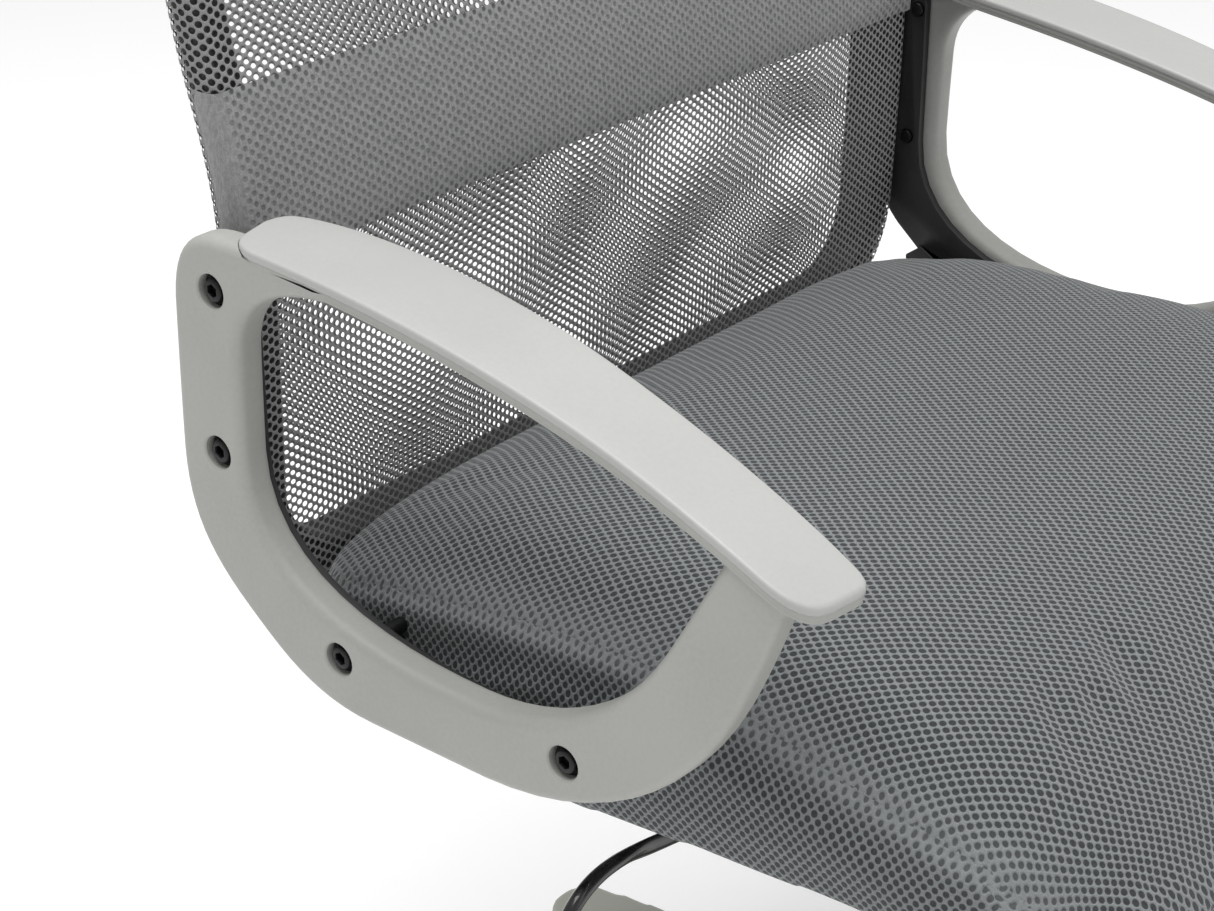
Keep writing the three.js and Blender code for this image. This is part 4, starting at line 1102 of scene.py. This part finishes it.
# ---------------------------------------------------------------- base, column and mechanism
def build_base():
    base = clean(placed("star_base_moulding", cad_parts["star_base"].data.copy()))
    finish(shade(remeshed(base, 2.4, 8), 60), base_look, "base", "star_base")
    stems = [(0, 40), (5.2, 40), (5.5, 41), (5.5, 53.5), (9.5, 53.5), (9.5, 56), (5.5, 56), (5.5, 79),
             (4.8, 80), (0, 80)]
    first = middle("caster_1_stem")
    origin = millimetres_at(first.x, first.y, 0)
    trail = middle("caster_1_axle").y / MM - first.y / MM
    radius = middle("caster_1_axle").z / MM
    stem = revolve("caster_1_stem_pin", fillet(stems, 0.5, 2), origin, 32)
    axle = revolve("caster_1_axle_pin", fillet([(0, -20), (4, -20), (4, 20), (0, 20)], 0.6, 2),
                   along_x(origin, trail, radius), 24)
    hood = refined("caster_1_hood", 0.6)
    hood.name = "caster_1_fork_hood"
    wheels = []
    for name, sign in (("left", 1), ("right", -1)):
        side = [(4.4, 7), (20, 7), (24, 7), (25, 9), (25, 19.5), (23.6, 22.4), (21, 23), (19.6, 21.8),
                (17.5, 21.2), (9, 21.6), (7.6, 22.6), (4.4, 22.6), (4.4, 7)]
        place = along_x(origin, trail, radius) @ Matrix.Diagonal((1, 1, sign, 1))
        wheels.append(revolve(f"caster_1_tread_{name}", fillet(side, 0.9, 3), place, 56))
    for i in range(1, 6):
        shift = middle(f"caster_{i}_stem") - first
        parts = [(stem, "stem_pin", zinc_look, "base", "stem"),
                 (hood, "fork_hood", hood_look, f"caster_{i}_fork", "hood"),
                 (axle, "axle_pin", zinc_look, f"caster_{i}_wheels", "axle"),
                 (wheels[0], "tread_left", tread_look, f"caster_{i}_wheels", "wheel_left"),
                 (wheels[1], "tread_right", tread_look, f"caster_{i}_wheels", "wheel_right")]
        for source, kind, look, body, node in parts:
            piece = source if i == 1 else twin(source, f"caster_{i}_{kind}", Matrix.Translation(shift))
            shade(piece, 32)
            finish(piece, look, body, f"caster_{i}_{node}")


def build_column():
    def turned(node, name, look, body, rounding, segments, profile, steps=3):
        """A piece turned on the column's axis; profile takes its node's radius r, foot and top."""
        low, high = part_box(node)
        side = profile((high.x - low.x) / 2 / MM, low.z / MM, high.z / MM)
        finish(revolve(name, fillet(side, rounding, steps), COLUMN_FRAME, segments), look, body, node)

    turned("column_tube", "column_outer_tube", steel_look, "base", 0.8, 64, lambda r, low, high: [
        (7, low), (r - 1, low), (r, low + 30), (r, high), (14.4, high), (14.4, high - 40),
        (r - 2, high - 44), (r - 2, low + 4), (7, low + 4), (7, low)])
    turned("piston_rod", "column_piston_rod", chrome_look, "column_core", 0.6, 40, lambda r, low, high: [
        (0, low), (6.5, low), (6.5, low + 12.3), (r, low + 12.3), (r, low + 17), (5, low + 17),
        (5, high), (0, high)])
    turned("gas_cylinder", "column_gas_cylinder", steel_look, "lift", 0.6, 56, lambda r, low, high: [
        (5.3, low), (r, low), (r, high - 40), (r - 1, high), (4, high), (4, high - 20),
        (0, high - 20), (0, 200), (5.3, 200), (5.3, low)])
    turned("release_button", "column_button", zinc_look, "release_button", 0.4, 32, lambda r, low, high: [
        (0, low), (r, low), (r, high - 1), (r - 1, high), (0, high)])
    wall, lip = 1.5, 0.35
    for stage, body in (("lower", "base"), ("middle", "cover_middle"), ("upper", "lift")):
        node = f"column_cover_{stage}"
        turned(node, node + "_sleeve", black_look, body, lip, 72, lambda r, low, high: [
            (r - wall, low), (r, low), (r, high - 6), (r - lip, high - 5.4),
            (r - lip, high - 4.6), (r, high - 4), (r, high), (r - wall, high),
            (r - wall, low)], steps=2)


def build_mechanism():
    finish(refined("hub_bracket", 0.8), steel_look, "lift", "hub_bracket")
    finish(refined("tilt_housing", 0.7), steel_look, "seat", "tilt_housing")
    pin = middle("tilt_pin")
    pin_place = millimetres_at(0, pin.y, pin.z)
    side = [(0, -48), (6, -48), (6, 44), (9, 44), (9, 48), (0, 48)]
    finish(revolve("tilt_pin_turned", fillet(side, 0.6, 3), along_x(pin_place), 40), zinc_look,
           "lift", "tilt_pin")
    spring_low, spring_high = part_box("tension_spring")
    centre = middle("tension_spring")
    coil = (spring_high.x - spring_low.x) / 2 / MM - 2
    place = millimetres_at(centre.x, centre.y, 0)
    top, low = spring_high.z / MM - 2, spring_low.z / MM + 2
    turns, steps = 4.5, 220
    helix = [(coil * math.cos(a), coil * math.sin(a), top - (top - low) * i / steps)
             for i, a in ((i, 2 * math.pi * turns * i / steps) for i in range(steps + 1))]
    wire = [(1.95 * math.cos(a), 1.95 * math.sin(a)) for a in (2 * math.pi * k / 12 for k in range(12))]
    spring = sweep("tension_spring_coil", helix, lambda t: wire, place)
    finish(spring, zinc_look, "lift", "tension_spring")
    bush = middle("lever_bush")
    low, high = (c.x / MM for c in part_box("lever_bush"))
    bush_place = millimetres_at(0, bush.y, bush.z)
    waist = (low + high) / 2
    side = [(7, low), (9, low), (9, high), (7, high), (5.5, waist), (7, low)]
    finish(revolve("lever_bush_sleeve", fillet(side, 0.5, 3), along_x(bush_place), 40), black_look,
           "lever_slider", "lever_bush")
    build_knob()
    build_lever()


def build_knob():
    low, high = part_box("tension_knob")
    centre = middle("tension_knob")
    place = millimetres_at(centre.x, centre.y, low.z)
    tall = (high.z - low.z) / MM
    lobes, samples = 8, 128
    verts = []
    rows = [(0.0, 6), (0.0, 14), (0.35, 18), (0.2, 21.5), (1.2, 23.2), (3.2, 24), (24.5, 24), (26.6, 23.4),
            (28.2, 22), (29.0, 19.5), (29.0, 17.2)]
    for height, radius in rows:
        deep = 2.0 if radius > 21 else 2.0 * max(radius - 12, 0) / 12
        for i in range(samples):
            angle = 2 * math.pi * i / samples
            wave = radius + deep * math.cos(lobes * angle)
            verts.append((wave * math.cos(angle), wave * math.sin(angle), height))
    grip = clean(mesh_object("grip", verts, capped_faces(len(rows), samples), place))
    side = [(0, 20), (17, 20), (17, 32), (4, 32), (4, tall), (0, tall)]
    bolt = revolve("bolt", fillet(side, 0.5, 3), place, 48)
    finish(shade(merge("tension_knob_grip", grip, bolt), 40), black_look, "knob", "tension_knob")


LEVER_Y = COLUMN_Y + 30
LEVER_Z = -91.0
LEVER_ROUTE = ((-17, LEVER_Y, LEVER_Z), (-52, LEVER_Y, LEVER_Z), (-120, LEVER_Y + 12, LEVER_Z + 2),
               (-205, -192, -85), (-240, -190, -80), (-264, -190, -84), (-279, -190, -100),
               (-284, -190, -132))


def lever_section(t):
    """(side, up) pairs: round in the bush, flattened at the neck, a thicker grip at the end."""
    flat = smoothstep(t, 0.50, 0.60) * (1 - smoothstep(t, 0.66, 0.74))
    grip = smoothstep(t, 0.70, 0.80)
    width = 3.3 + 1.4 * flat + 0.3 * grip
    deep = 3.3 - 1.3 * flat + 0.3 * grip
    if t > 0.985:
        width, deep = width * 0.75, deep * 0.75
    return [(width * math.cos(a), deep * math.sin(a)) for a in (2 * math.pi * k / 24 for k in range(24))]


def build_lever():
    bar = sweep("bar", smooth_line(LEVER_ROUTE, 110), lever_section, SEAT_FRAME)
    under = -83.0
    finger = box_solid("finger", (-19, COLUMN_Y - 4, under), (5, LEVER_Y + 4, under + 3), 0.7, SEAT_FRAME)
    crank = box_solid("crank", (-19, LEVER_Y - 4, LEVER_Z - 4), (-14, LEVER_Y + 4, under + 3), 0.7,
                      SEAT_FRAME)
    lever = merge("lift_lever_bar", bar, finger, crank)
    finish(shade(lever, 40), lever_look, "lever", "lift_lever")


# ---------------------------------------------------------------- stage
def build_stage():
    floor = mesh_object("floor", [(-6, -6, 0), (6, -6, 0), (6, 6, 0), (-6, 6, 0)], [(0, 1, 2, 3)])
    look = Look("floor", 0.9)
    look.set(Base_Color=look.mix(look.noise(3), (0.86, 0.86, 0.86), (0.88, 0.88, 0.88)),
             Emission_Color=(1, 1, 1, 1), Emission_Strength=0.2)
    floor.data.materials.append(look.material)
    world = bpy.data.worlds.new("studio")
    scene.world = world
    world.use_nodes = True
    world.node_tree.nodes["Background"].inputs["Color"].default_value = (1, 1, 1, 1)
    world.node_tree.nodes["Background"].inputs["Strength"].default_value = 0.5
    for name, place, size, power in (("key", (-0.3, 0.1, 3.4), 2.6, 100),
                                     ("fill", (0.5, -2.6, 1.7), 2.0, 8)):
        lamp = bpy.data.lights.new(name, "AREA")
        lamp.energy = power
        lamp.size = size
        holder = placed(name, lamp)
        holder.location = place
        holder.rotation_euler = (Vector((0, 0, 0.5)) - Vector(place)).to_track_quat("-Z", "Y").to_euler()
    scene.view_settings.view_transform = "Standard"


CAMERA_LENS = 74.09                # mm, on a 36 mm sensor
CAMERA_DOWN = 0.46107              # radians under the horizon
CAMERA_TURN = -0.88117             # radians about the vertical
CAMERA_PLACE = (-0.944, SEAT_Y * MM - 0.765, 1.002)


def build_camera():
    data = bpy.data.cameras.new("camera")
    data.sensor_width = 36
    data.lens = CAMERA_LENS
    camera = placed("camera", data)
    camera.rotation_euler = (math.pi / 2 - CAMERA_DOWN, 0, CAMERA_TURN)
    camera.location = CAMERA_PLACE
    scene.camera = camera


build_camera()
build_arms()
build_back()
build_seat()
build_base()
build_column()
build_mechanism()
build_stage()
